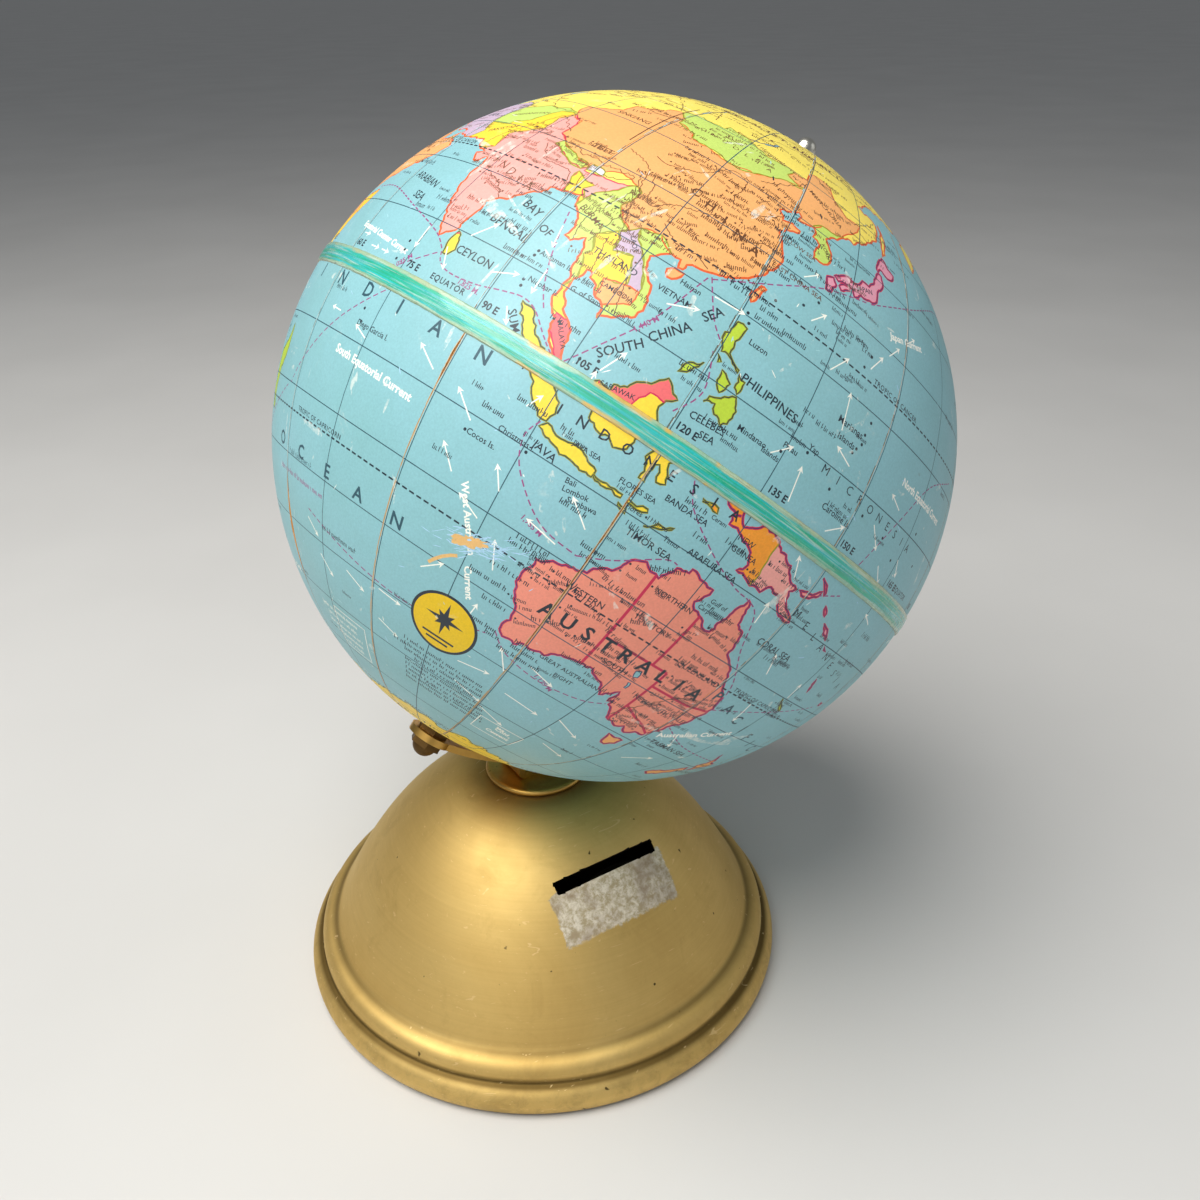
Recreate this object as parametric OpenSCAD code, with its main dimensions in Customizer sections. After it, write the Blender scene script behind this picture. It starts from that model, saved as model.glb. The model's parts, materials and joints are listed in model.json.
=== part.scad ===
// Desktop globe that is also a money box.
// A printed card ball turns on a tilted axle, held at its south pole by a bent
// bracket on the crown of a spun metal bell. The bell has a coin slot in front
// and a pull-out plug underneath.
// Origin: centre of the bell's foot, on the table. +Z up, -Y towards the coin
// slot, +X the way the ball's north pole leans.

/* [Ball] */
// Diameter over the printed paper
ball_d = 177.8; // [165:0.1:190]
// Thickness of the pressed card shells
card_t = 2; // [1.5:0.1:3]
// Lean of the axle away from upright, in degrees
axis_lean = 41.2; // [38:0.1:44]
// Height of the ball's centre over the table
ball_h = 157.1; // [156:0.1:164]
// How far the ball's centre stands off the bell's axis, towards +X
ball_out = 28; // [27:0.1:29]
// Turn of the ball about its axle: where longitude 0 points
ball_turn = 115.2; // [0:0.1:360]

/* [Printed skin] */
// Thickness of the printed paper
paper_t = 0.3; // [0.2:0.05:0.4]
// Gores in each hemisphere
gore_count = 12; // [8:1:16]
// Open seam between two gores, in degrees of longitude
seam_open = 0.25; // [0.1:0.05:0.6]
// How far the southern print was pasted out of line, in degrees of longitude
south_shift = 0.8; // [0:0.1:2]
// Latitude where the gores end under the round polar papers
cap_lat = 80; // [76:1:84]
// Width of the tape round the equator
band_w = 5.5; // [4:0.1:8]
// How far the tape stands out of the printed paper
band_proud = 0.5; // [0.3:0.05:0.8]

/* [Axle and poles] */
// Diameter of the axle rod
rod_d = 4; // [3:0.1:5]
// Radial clearance between the rod and what turns on it
rod_clear = 0.05; // [0.02:0.01:0.1]
// Diameter of an eyelet's outer flange
eyelet_flange_d = 10; // [9:0.1:13]
// Thickness of an eyelet's outer flange
eyelet_flange_t = 0.8; // [0.6:0.05:1]
// Diameter of the cap nut over the north pole
north_cap_d = 5.8; // [5.4:0.1:7]
// How far the cap nut rises over the paper at the north pole
north_cap_h = 8.8; // [8:0.1:11]
// Gap between a turning eyelet and the fixed washer or nut next to it
end_play = 0.1; // [0.05:0.05:0.3]

/* [Bracket] */
// Thickness of the bracket's strip
arm_t = 2; // [1.6:0.1:2.2]
// Width of the bracket at its eye
arm_eye_w = 12.4; // [11:0.1:14]
// Width of the bracket between its two round ends
arm_w = 11; // [10:0.1:11.5]
// Where the bracket leaves the ball's curve, in degrees away from straight down
arm_leave = 23.4; // [23:0.1:25]
// Distance from the ball's paper to the bracket's near face
arm_stand_off = 2.6; // [2.4:0.1:3]
// Height of the acorn nut under the bracket
acorn_h = 5.2; // [5:0.1:7]
// Width across the flats of the acorn nut
acorn_af = 8; // [7:0.1:10]

/* [Bell] */
// Radius at the crown's edge, where the flat seat for the collar ends
crown_r = 15.2; // [14:0.1:17]
// Height of the crown over the table
crown_h = 63.2; // [60:0.1:63.4]
// Radius where the flank runs into the upper bead
flank_r = 62.9; // [61:0.1:64]
// Height where the flank runs into the upper bead
flank_h = 17; // [16:0.1:20]
// Thickness of the spun metal
metal_t = 1; // [0.8:0.1:1.2]

/* [Beads] */
// Outer radius of the lower bead
foot_r = 72.5; // [71:0.1:76]
// Height of the lower bead
foot_bead_h = 9.1; // [8.8:0.1:9.4]
// Outer radius of the upper bead
upper_bead_r = 68.7; // [68:0.1:69.4]
// Width of the curled hem that the bottom plate lies on
hem_w = 2.6; // [2:0.1:4]

/* [Coin slot] */
// Length of the slot along the bell
slot_l = 32; // [28:0.5:34]
// Width of the slot
slot_w = 3; // [2.5:0.1:3.5]
// Where the slot sits on the flank: 0 at the upper bead, 1 at the crown
slot_place = 0.62; // [0.55:0.01:0.68]

/* [Bottom] */
// Thickness of the bottom plate
plate_t = 0.8; // [0.6:0.1:1]
// How far the plate's middle is dished up
plate_dish = 3.5; // [3:0.1:5]
// Radius of the plug's hole
plug_hole_r = 16; // [14:0.1:20]
// Radial clearance of the plug in its hole
plug_clear = 0.08; // [0.05:0.01:0.1]
// Height of the plug's body above its flange
plug_h = 4.6; // [4:0.1:6]

/* [Bolt] */
// Diameter of the bolt through the bracket, collar and crown
bolt_d = 6; // [5:0.1:6.4]
// Height of the bolt's head
bolt_head_h = 3; // [2.6:0.1:3.2]
// Diameter of the bolt's head
bolt_head_d = 11; // [10:0.1:12]
// Height of the collar between the crown and the bracket
collar_h = 2.1; // [2:0.1:2.2]

/* [Hidden] */
$fn = 96;
// Steps round the ball's own outline, finer than the rest
fine = 480;

ball_r = ball_d / 2;
shell_r = ball_r - paper_t;
shell_in = shell_r - card_t;
rod_r = rod_d / 2;
bore_r = rod_r + rod_clear;
eyelet_tube_r = rod_r + 1.2;
pole_hole_r = eyelet_tube_r + 0.1;
big = 3 * ball_d;

// Stack along the axle, measured from the ball's centre towards a pole
eyelet_out = ball_r + eyelet_flange_t;
nut_in = eyelet_out + end_play;
arm_in = ball_r + arm_stand_off;
arm_out = arm_in + arm_t;
acorn_out = arm_out + acorn_h;
north_washer_out = nut_in + 0.8;
north_cap_out = ball_r + north_cap_h;

// Stack up the bell's axis
collar_top = crown_h + collar_h;
foot_top = collar_top + arm_t;
bolt_r = bolt_d / 2;
bolt_hole_r = bolt_r + 0.1;
washer_t = 1.5;
lock_washer_t = 1.2;
nut_t = 4.5;
dome_under = crown_h - metal_t;
washer_under = dome_under - washer_t;
lock_under = washer_under - lock_washer_t;
nut_under = lock_under - nut_t;
bolt_end = nut_under - 2.5;

// The bracket follows the ball's curve from its eye, then drops to a foot on the collar
arm_bend = [ball_out - arm_out * sin(arm_leave), ball_h - arm_out * cos(arm_leave)];
foot_bend = [arm_bend[0] + arm_t, foot_top];
arm_end = 8;
nut_spot_r = 5.4;

// Bottom plate and plug
hem_top = metal_t;
plate_r = foot_r - 2.2;
plate_mid = hem_top + plate_dish;
plug_flange_t = 1.4;
plug_top_z = plate_mid - 0.1;

function arc(c, rx, rz, from, to, steps) =
    [for (i = [0 : steps])
        let (a = from + (to - from) * i / steps)
        [c[0] + rx * cos(a), c[1] + rz * sin(a)]];

function bezier(p, t) =
    pow(1 - t, 3) * p[0] + 3 * pow(1 - t, 2) * t * p[1]
    + 3 * (1 - t) * t * t * p[2] + pow(t, 3) * p[3];

// Flank of the bell: steep at the bead, rounding over to the crown
flank_pull = [flank_r - 8.9, flank_h + 18];
crown_pull = [crown_r + 21.3, crown_h - 1.7];
flank = [[flank_r, flank_h], flank_pull, crown_pull, [crown_r, crown_h]];

// Outside of the bell from the foot to the crown
foot_bead = [foot_r - 4.2, 4.2];
foot_bead_rz = foot_bead_h - foot_bead[1];
upper_bead = [upper_bead_r - 4.1, 10.8];
bell_outside = concat(
    arc(foot_bead, 4.2, foot_bead_rz, -58, 80, 18),
    [[upper_bead_r, foot_bead_h + 0.3]],
    arc(upper_bead, 4.1, 4.4, 0, 76, 10),
    [[flank_r + 1.2, flank_h - 1.2]],
    [for (i = [0 : 28]) bezier(flank, i / 28)]
);

// A line moved sideways by d, away from its outer side
function moved(line, d) =
    [for (i = [0 : len(line) - 1])
        let (
            a = line[max(i - 1, 0)],
            b = line[min(i + 1, len(line) - 1)],
            s = (b - a) / norm(b - a)
        )
        line[i] + d * [-s[1], s[0]]];

// The slot is punched square to the flank
slot_at = bezier(flank, slot_place);
slot_step = bezier(flank, slot_place + 0.01) - bezier(flank, slot_place - 0.01);
slot_tip = atan2(-slot_step[0], slot_step[1]);

module on_axle() {
    translate([ball_out, 0, ball_h])
        rotate([0, axis_lean, 0])
            children();
}

module on_ball(shift = 0) {
    on_axle()
        rotate([0, 0, ball_turn + shift])
            children();
}

module ring(r_out, r_in, h) {
    difference() {
        cylinder(r = r_out, h = h);
        translate([0, 0, -1])
            cylinder(r = r_in, h = h + 2);
    }
}

module hex_nut(af, r_in, h) {
    difference() {
        cylinder(d = af / cos(30), h = h, $fn = 6);
        translate([0, 0, -1])
            cylinder(r = r_in, h = h + 2);
    }
}

// Half of a ball's wall in section, between two heights
module wall_section(r_out, r_in, z_from, z_to) {
    intersection() {
        difference() {
            circle(r = r_out, $fn = fine);
            circle(r = r_in, $fn = fine);
        }
        translate([pole_hole_r, z_from])
            square([ball_d, z_to - z_from]);
    }
}

module half_shell() {
    rotate_extrude()
        wall_section(shell_r, shell_in, 0, ball_d);
}

// One hemisphere's gores, each a slice of thin ball wall between two meridians
module gores() {
    step = 360 / gore_count;
    for (i = [0 : gore_count - 1])
        rotate([0, 0, i * step + seam_open / 2])
            rotate_extrude(angle = step - seam_open)
                wall_section(ball_r, shell_r, band_w / 2, ball_r * sin(cap_lat));
}

module polar_paper() {
    rotate_extrude()
        wall_section(ball_r, shell_r, ball_r * sin(cap_lat), ball_d);
}

// Eyelet pressed through a pole, its inner end clinched over a washer
module eyelet() {
    translate([0, 0, ball_r])
        ring(eyelet_flange_d / 2, bore_r, eyelet_flange_t);
    translate([0, 0, shell_in - 2])
        ring(eyelet_tube_r, bore_r, ball_r - shell_in + 2);
    translate([0, 0, shell_in - 2.2])
        ring(eyelet_tube_r + 1.3, bore_r, 0.8);
}

module base_dome() {
    inside = moved(bell_outside, metal_t);
    last = len(inside) - 1;
    color("darkgoldenrod")
    difference() {
        rotate_extrude()
            polygon(concat(
                [[foot_r - 2.2 - hem_w, 0]],
                [[foot_r - 1.9, 0]],
                [for (p = bell_outside) if (p[1] > 0.05) p],
                [[bolt_hole_r, crown_h], [bolt_hole_r, dome_under]],
                [for (i = [last : -1 : 0])
                    if (inside[i][1] > hem_top + 0.2) inside[i]],
                [[foot_r - 2.1, hem_top], [foot_r - 2.2 - hem_w, hem_top]]
            ));
        translate([0, -slot_at[0], slot_at[1]])
            rotate([-slot_tip, 0, 0])
                cube([slot_l, 24, slot_w], center = true);
    }
}

module collar_disc() {
    color("goldenrod")
    translate([0, 0, crown_h])
        rotate_extrude()
            difference() {
                union() {
                    translate([bolt_hole_r, 0])
                        square([crown_r - 1 - bolt_hole_r, collar_h]);
                    translate([bolt_hole_r, 0])
                        square([crown_r - bolt_hole_r, collar_h - 1]);
                    translate([crown_r - 1, collar_h - 1])
                        circle(r = 1);
                }
                translate([0, -2])
                    square([2 * crown_r, 2]);
            }
}

// Dished plate held by the curled hem, with a turned-up rim round the plug
module bottom_plate() {
    rim_t = 0.8;
    slope = 3.5;
    step_r = foot_r - 11.5;
    rim_top = plate_mid + plate_t + 2.2;
    color("silver")
    rotate_extrude()
        polygon([
            [plate_r, hem_top], [plate_r, hem_top + plate_t],
            [step_r - 0.3, hem_top + plate_t],
            [step_r - slope - 0.3, plate_mid + plate_t],
            [plug_hole_r + rim_t, plate_mid + plate_t],
            [plug_hole_r + rim_t, rim_top], [plug_hole_r, rim_top],
            [plug_hole_r, plate_mid], [step_r - slope, plate_mid],
            [step_r, hem_top]
        ]);
}

module dome_washer() {
    color("silver")
    translate([0, 0, washer_under])
        ring(13, bolt_hole_r, washer_t);
}

// Round-headed bolt, its head on the bracket's foot
module arm_bolt() {
    color("gold")
    difference() {
        union() {
            translate([0, 0, bolt_end])
                cylinder(r = bolt_r, h = foot_top - bolt_end + 0.5);
            translate([0, 0, foot_top])
                intersection() {
                    cylinder(d = bolt_head_d, h = bolt_head_h);
                    translate([0, 0, bolt_head_h - 8])
                        sphere(r = 8);
                }
        }
        translate([0, 0, foot_top + bolt_head_h - 0.6])
            cube([20, 1.4, 2.4], center = true);
    }
}

module bolt_lock_washer() {
    color("silver")
    translate([0, 0, lock_under])
        difference() {
            ring(5.6, bolt_hole_r, lock_washer_t);
            translate([2, -0.5, -1])
                cube([6, 1, 4]);
        }
}

module bolt_nut() {
    color("silver")
    translate([0, 0, nut_under])
        hex_nut(10, bolt_hole_r, nut_t);
}

// A point of the bracket's side view, r from the ball's centre and a from straight down
function on_arm(r, a) = [ball_out - r * sin(a), ball_h - r * cos(a)];

function beyond_eye(r) =
    on_arm(r, axis_lean) - arm_end * [cos(axis_lean), -sin(axis_lean)];

// The bracket's side view: along its outer face to the foot, and back along its inner face
function arm_side(steps = 12) = concat(
    [beyond_eye(arm_out)],
    [for (i = [0 : steps]) on_arm(arm_out, axis_lean + (arm_leave - axis_lean) * i / steps)],
    arc(foot_bend, arm_t, arm_t, 180, 270, 6),
    [[arm_end, collar_top], [arm_end, foot_top], foot_bend],
    arc(arm_bend, arm_t, arm_t, 0, 90 - arm_leave, 6),
    [for (i = [1 : steps]) on_arm(arm_in, arm_leave + (axis_lean - arm_leave) * i / steps)],
    [beyond_eye(arm_in)]
);

// Bent strip: a foot under the bolt, an upright leg, and a curved arm that ends in the axle's eye
module support_arm() {
    color("goldenrod")
    difference() {
        intersection() {
            translate([0, arm_eye_w, 0])
                rotate([90, 0, 0])
                    linear_extrude(height = 2 * arm_eye_w)
                        polygon(arm_side());
            on_axle()
                translate([0, 0, -arm_out - 10])
                    linear_extrude(height = 50) {
                        circle(d = arm_eye_w);
                        translate([0, -arm_w / 2])
                            square([80, arm_w]);
                    }
            linear_extrude(height = ball_h) {
                circle(d = arm_eye_w);
                translate([-80, -arm_eye_w])
                    square([80, 2 * arm_eye_w]);
            }
        }
        translate([0, 0, collar_top - 1])
            cylinder(r = bolt_hole_r, h = arm_t + 2);
        on_axle() {
            translate([0, 0, -arm_out - 1])
                cylinder(r = bore_r, h = arm_t + 2);
            translate([0, 0, -arm_in])
                cylinder(r = nut_spot_r, h = arm_stand_off - eyelet_flange_t);
        }
    }
}

module axle_rod() {
    from = arm_out + acorn_h - 3;
    to = north_cap_out - 2;
    color("silver")
    on_axle()
        translate([0, 0, -from])
            cylinder(r = rod_r, h = from + to);
}

module axle_lock_nut() {
    color("gold")
    on_axle()
        translate([0, 0, -arm_in])
            hex_nut(acorn_af, bore_r, arm_in - nut_in);
}

// Acorn nut: a short hexagon with a round end, bored blind for the rod
module axle_acorn_nut() {
    dome_r = acorn_af / 2 - 0.5;
    color("darkgoldenrod")
    on_axle()
        difference() {
            union() {
                intersection() {
                    translate([0, 0, -acorn_out + dome_r])
                        sphere(r = dome_r);
                    translate([0, 0, -acorn_out - 1])
                        cylinder(r = dome_r + 1, h = dome_r + 1);
                }
                translate([0, 0, -acorn_out + dome_r])
                    cylinder(r = dome_r, h = acorn_h - dome_r);
                translate([0, 0, -arm_out - 2.2])
                    cylinder(d = acorn_af / cos(30), h = 2.2, $fn = 6);
            }
            translate([0, 0, -arm_out - acorn_h + 2.8])
                cylinder(r = bore_r, h = acorn_h);
        }
}

module north_washer() {
    color("silver")
    on_axle()
        translate([0, 0, nut_in])
            ring(4.2, bore_r, north_washer_out - nut_in);
}

module north_cap_nut() {
    r = north_cap_d / 2;
    color("whitesmoke")
    on_axle()
        difference() {
            union() {
                translate([0, 0, north_washer_out])
                    cylinder(r = r, h = north_cap_out - r - north_washer_out);
                translate([0, 0, north_cap_out - r])
                    sphere(r = r);
                translate([0, 0, north_washer_out])
                    cylinder(r = r + 0.7, h = 1);
            }
            translate([0, 0, north_washer_out - 1])
                cylinder(r = bore_r, h = north_cap_out - 1.8 - north_washer_out + 1);
        }
}

module north_shell() {
    color("burlywood")
    on_ball()
        half_shell();
}

module south_shell() {
    color("tan")
    on_ball()
        mirror([0, 0, 1])
            half_shell();
}

// Strip of card inside the joint between the two shells
module joint_ring() {
    ring_h = 18;
    ring_r = sqrt(shell_in * shell_in - ring_h * ring_h / 4) - 0.1;
    color("peru")
    on_ball()
        translate([0, 0, -ring_h / 2])
            ring(ring_r, ring_r - 1.5, ring_h);
}

// Tape round the equator, crowned like a low bead
module equator_band() {
    top = ball_r + band_proud;
    rise = band_proud;
    crown = (pow(band_w / 2, 2) + rise * rise) / (2 * rise);
    color("darkkhaki")
    on_ball()
        rotate_extrude()
            intersection() {
                translate([top - crown, 0])
                    circle(r = crown);
                translate([shell_r, -band_w / 2])
                    square([2, band_w]);
            }
}

module north_gores() {
    color("skyblue")
    on_ball()
        gores();
}

module south_gores() {
    color("lightskyblue")
    on_ball(south_shift)
        mirror([0, 0, 1])
            gores();
}

module north_polar_paper() {
    color("lightblue")
    on_ball()
        polar_paper();
}

module south_polar_paper() {
    color("khaki")
    on_ball()
        mirror([0, 0, 1])
            polar_paper();
}

module north_eyelet() {
    color("gold")
    on_ball()
        eyelet();
}

module south_eyelet() {
    color("gold")
    on_ball()
        mirror([0, 0, 1])
            eyelet();
}

module eyelet_washers() {
    washer_r = 7;
    color("silver")
    on_ball()
        for (side = [0, 1])
            mirror([0, 0, side])
                translate([0, 0, shell_in - 1.4])
                    ring(washer_r, pole_hole_r, 1);
}

// Stopper: a flange under the plate, a body in the hole, a groove to prise it by
module coin_plug() {
    color("dimgray")
    difference() {
        union() {
            translate([0, 0, plug_top_z - plug_flange_t])
                cylinder(r = plug_hole_r + 2.8, h = plug_flange_t);
            translate([0, 0, plug_top_z - 0.1])
                cylinder(r = plug_hole_r - plug_clear, h = plug_h + 0.1);
        }
        translate([0, 0, plug_top_z - plug_flange_t])
            cube([24, 2.4, 2], center = true);
    }
}

base_dome();
collar_disc();
bottom_plate();
dome_washer();
arm_bolt();
bolt_lock_washer();
bolt_nut();
support_arm();
axle_rod();
axle_lock_nut();
axle_acorn_nut();
north_washer();
north_cap_nut();
north_shell();
south_shell();
joint_ring();
equator_band();
north_gores();
south_gores();
north_polar_paper();
south_polar_paper();
north_eyelet();
south_eyelet();
eyelet_washers();
coin_plug();
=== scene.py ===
"""Desktop globe: a printed card ball on a leaning axle, held by a bent bracket on a spun metal bell."""
import json
import math
import random

import bpy
import numpy as np
import bmesh
from mathutils import Matrix, Vector, noise
from mathutils.geometry import delaunay_2d_cdt


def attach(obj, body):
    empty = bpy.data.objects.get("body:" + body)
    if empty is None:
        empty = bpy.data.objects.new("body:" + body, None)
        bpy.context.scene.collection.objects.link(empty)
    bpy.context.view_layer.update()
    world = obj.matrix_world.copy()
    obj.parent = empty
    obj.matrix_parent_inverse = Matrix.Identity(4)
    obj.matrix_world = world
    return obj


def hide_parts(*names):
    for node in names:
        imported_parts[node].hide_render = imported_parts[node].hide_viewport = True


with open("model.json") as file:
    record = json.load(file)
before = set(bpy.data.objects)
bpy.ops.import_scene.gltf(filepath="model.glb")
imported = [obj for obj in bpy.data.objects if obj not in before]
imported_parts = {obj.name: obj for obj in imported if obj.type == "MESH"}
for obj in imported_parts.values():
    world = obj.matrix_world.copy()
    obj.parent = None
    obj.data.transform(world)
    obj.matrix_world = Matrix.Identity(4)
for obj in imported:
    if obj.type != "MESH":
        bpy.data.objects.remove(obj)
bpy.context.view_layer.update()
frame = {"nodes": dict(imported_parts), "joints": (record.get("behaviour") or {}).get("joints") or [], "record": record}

MM = 0.001

# ---- Sizes ---------------------------------------------------------------
SPIN = next(j for j in frame["joints"] if j["name"] == "globe_spin")
BALL = Vector(SPIN["pos_m"])
AXLE = Vector(SPIN["axis"]).normalized()
# Outside of the printed paper, and of the card under it.
BALL_R = 88.9 * MM
SHELL_R = 88.6 * MM
# How far the equator tape stands off the paper, and half its width.
BAND_PROUD = 0.5 * MM
BAND_HALF = 2.75 * MM
# Which way the print faces at rest, and how far round the southern gores were pasted.
MAP_TURN = math.radians(115.2)
SOUTH_SHIFT = math.radians(0.8)
LEAN = math.atan2(AXLE.x, AXLE.z)
BALL_TURN = Matrix.Rotation(LEAN, 3, "Y") @ Matrix.Rotation(MAP_TURN, 3, "Z")
# The gores stop at this latitude, where the round polar papers begin, and each is this wide. Degrees.
CAP_LAT = 80
GORE_WIDTH = 30
GORES = 360 // GORE_WIDTH
POLE_HOLE = math.degrees(3.3 * MM / BALL_R)


def link(obj):
    """Puts an object in the scene."""
    bpy.context.scene.collection.objects.link(obj)
    return obj


def mesh_object(name, verts, faces):
    """A new object in the scene from points and faces."""
    mesh = bpy.data.meshes.new(name)
    mesh.from_pydata([tuple(v) for v in verts], [], faces)
    mesh.update()
    return link(bpy.data.objects.new(name, mesh))


def face_outward(obj):
    """Turns every face of a closed mesh outward."""
    bm = bmesh.new()
    bm.from_mesh(obj.data)
    bmesh.ops.recalc_face_normals(bm, faces=bm.faces)
    bm.to_mesh(obj.data)
    bm.free()


def smooth(obj, degrees):
    """Smooth shading with hard edges above an angle."""
    mesh = obj.data
    mesh.polygons.foreach_set("use_smooth", [True] * len(mesh.polygons))
    mesh.set_sharp_from_angle(angle=math.radians(degrees))


# ---- Materials -----------------------------------------------------------
def srgb(r, g, b):
    """A colour given as 0-255 screen values, as the shader wants it."""
    def linear(v):
        v /= 255
        return v / 12.92 if v <= 0.04045 else ((v + 0.055) / 1.055) ** 2.4
    return (linear(r), linear(g), linear(b), 1.0)


class Nodes:
    """Short calls for building one node material."""

    def __init__(self, name):
        self.material = bpy.data.materials.new(name)
        self.material.use_nodes = True
        self.tree = self.material.node_tree
        self.shader = self.tree.nodes["Principled BSDF"]
        self.coords = self.tree.nodes.new("ShaderNodeTexCoord").outputs["Object"]

    def link(self, value, socket):
        if hasattr(value, "links"):
            self.tree.links.new(value, socket)
        else:
            socket.default_value = value

    def noise(self, scale, detail=4, rough=0.5, distort=0.0, coords=None, stretch=None):
        if stretch:
            mapping = self.tree.nodes.new("ShaderNodeMapping")
            mapping.inputs["Scale"].default_value = stretch
            self.link(coords or self.coords, mapping.inputs["Vector"])
            coords = mapping.outputs[0]
        node = self.tree.nodes.new("ShaderNodeTexNoise")
        node.inputs["Scale"].default_value = scale
        node.inputs["Detail"].default_value = detail
        node.inputs["Roughness"].default_value = rough
        node.inputs["Distortion"].default_value = distort
        self.link(coords or self.coords, node.inputs["Vector"])
        return node.outputs["Fac"]

    def ramp(self, value, low, high, out_low=0.0, out_high=1.0):
        node = self.tree.nodes.new("ShaderNodeMapRange")
        ends = {"From Min": low, "From Max": high, "To Min": out_low, "To Max": out_high}
        for key, number in ends.items():
            node.inputs[key].default_value = number
        self.link(value, node.inputs["Value"])
        return node.outputs[0]

    def math(self, kind, a, b=0.0):
        node = self.tree.nodes.new("ShaderNodeMath")
        node.operation = kind
        self.link(a, node.inputs[0])
        self.link(b, node.inputs[1])
        return node.outputs[0]

    def mix(self, amount, a, b, kind="MIX"):
        node = self.tree.nodes.new("ShaderNodeMix")
        node.data_type = "RGBA"
        node.blend_type = kind
        self.link(amount, node.inputs["Factor"])
        self.link(a, node.inputs["A"])
        self.link(b, node.inputs["B"])
        return next(s for s in node.outputs if s.type == "RGBA")

    def attribute(self, name, output="Color"):
        node = self.tree.nodes.new("ShaderNodeAttribute")
        node.attribute_name = name
        return node.outputs[output]

    def axis(self, which):
        node = self.tree.nodes.new("ShaderNodeSeparateXYZ")
        self.link(self.coords, node.inputs[0])
        return node.outputs[which]

    def bump(self, height, distance, strength=1.0):
        node = self.tree.nodes.new("ShaderNodeBump")
        node.inputs["Strength"].default_value = strength
        node.inputs["Distance"].default_value = distance
        self.link(height, node.inputs["Height"])
        self.link(node.outputs[0], self.shader.inputs["Normal"])

    def set(self, **values):
        for key, value in values.items():
            self.link(value, self.shader.inputs[key.replace("_", " ")])
        return self.material


def metal(name, colour, dark, rough, speck=0.5, grain=900.0, tarnish=26.0):
    """Lacquered or plated metal: cloudy tarnish, fine grain, dark pits and worn lacquer."""
    n = Nodes(name)
    cloud = n.ramp(n.noise(tarnish, 6, 0.6, 0.4), 0.35, 0.7)
    fine = n.noise(grain, 3, 0.6)
    pits = n.ramp(n.noise(420, 2, 0.7), 0.68, 0.76)
    patches = n.ramp(n.noise(60, 5, 0.7, 0.6), 0.58, 0.72)
    base = n.mix(n.math("MULTIPLY", cloud, 0.55), colour, dark)
    base = n.mix(n.math("MULTIPLY", patches, 0.35), base, dark)
    base = n.mix(n.math("MULTIPLY", n.ramp(fine, 0.3, 0.7), 0.12), base, dark)
    base = n.mix(n.math("MULTIPLY", pits, speck), base, srgb(52, 38, 20))
    roughness = n.ramp(n.math("ADD", n.math("MULTIPLY", cloud, 0.5), n.math("MULTIPLY", fine, 0.5)),
                       0.2, 0.9, rough - 0.08, rough + 0.16)
    n.bump(n.math("ADD", n.math("MULTIPLY", fine, 0.4), n.math("MULTIPLY", pits, -1.0)), 0.00006, 0.5)
    return n.set(Base_Color=base, Metallic=1.0, Roughness=roughness)


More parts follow.
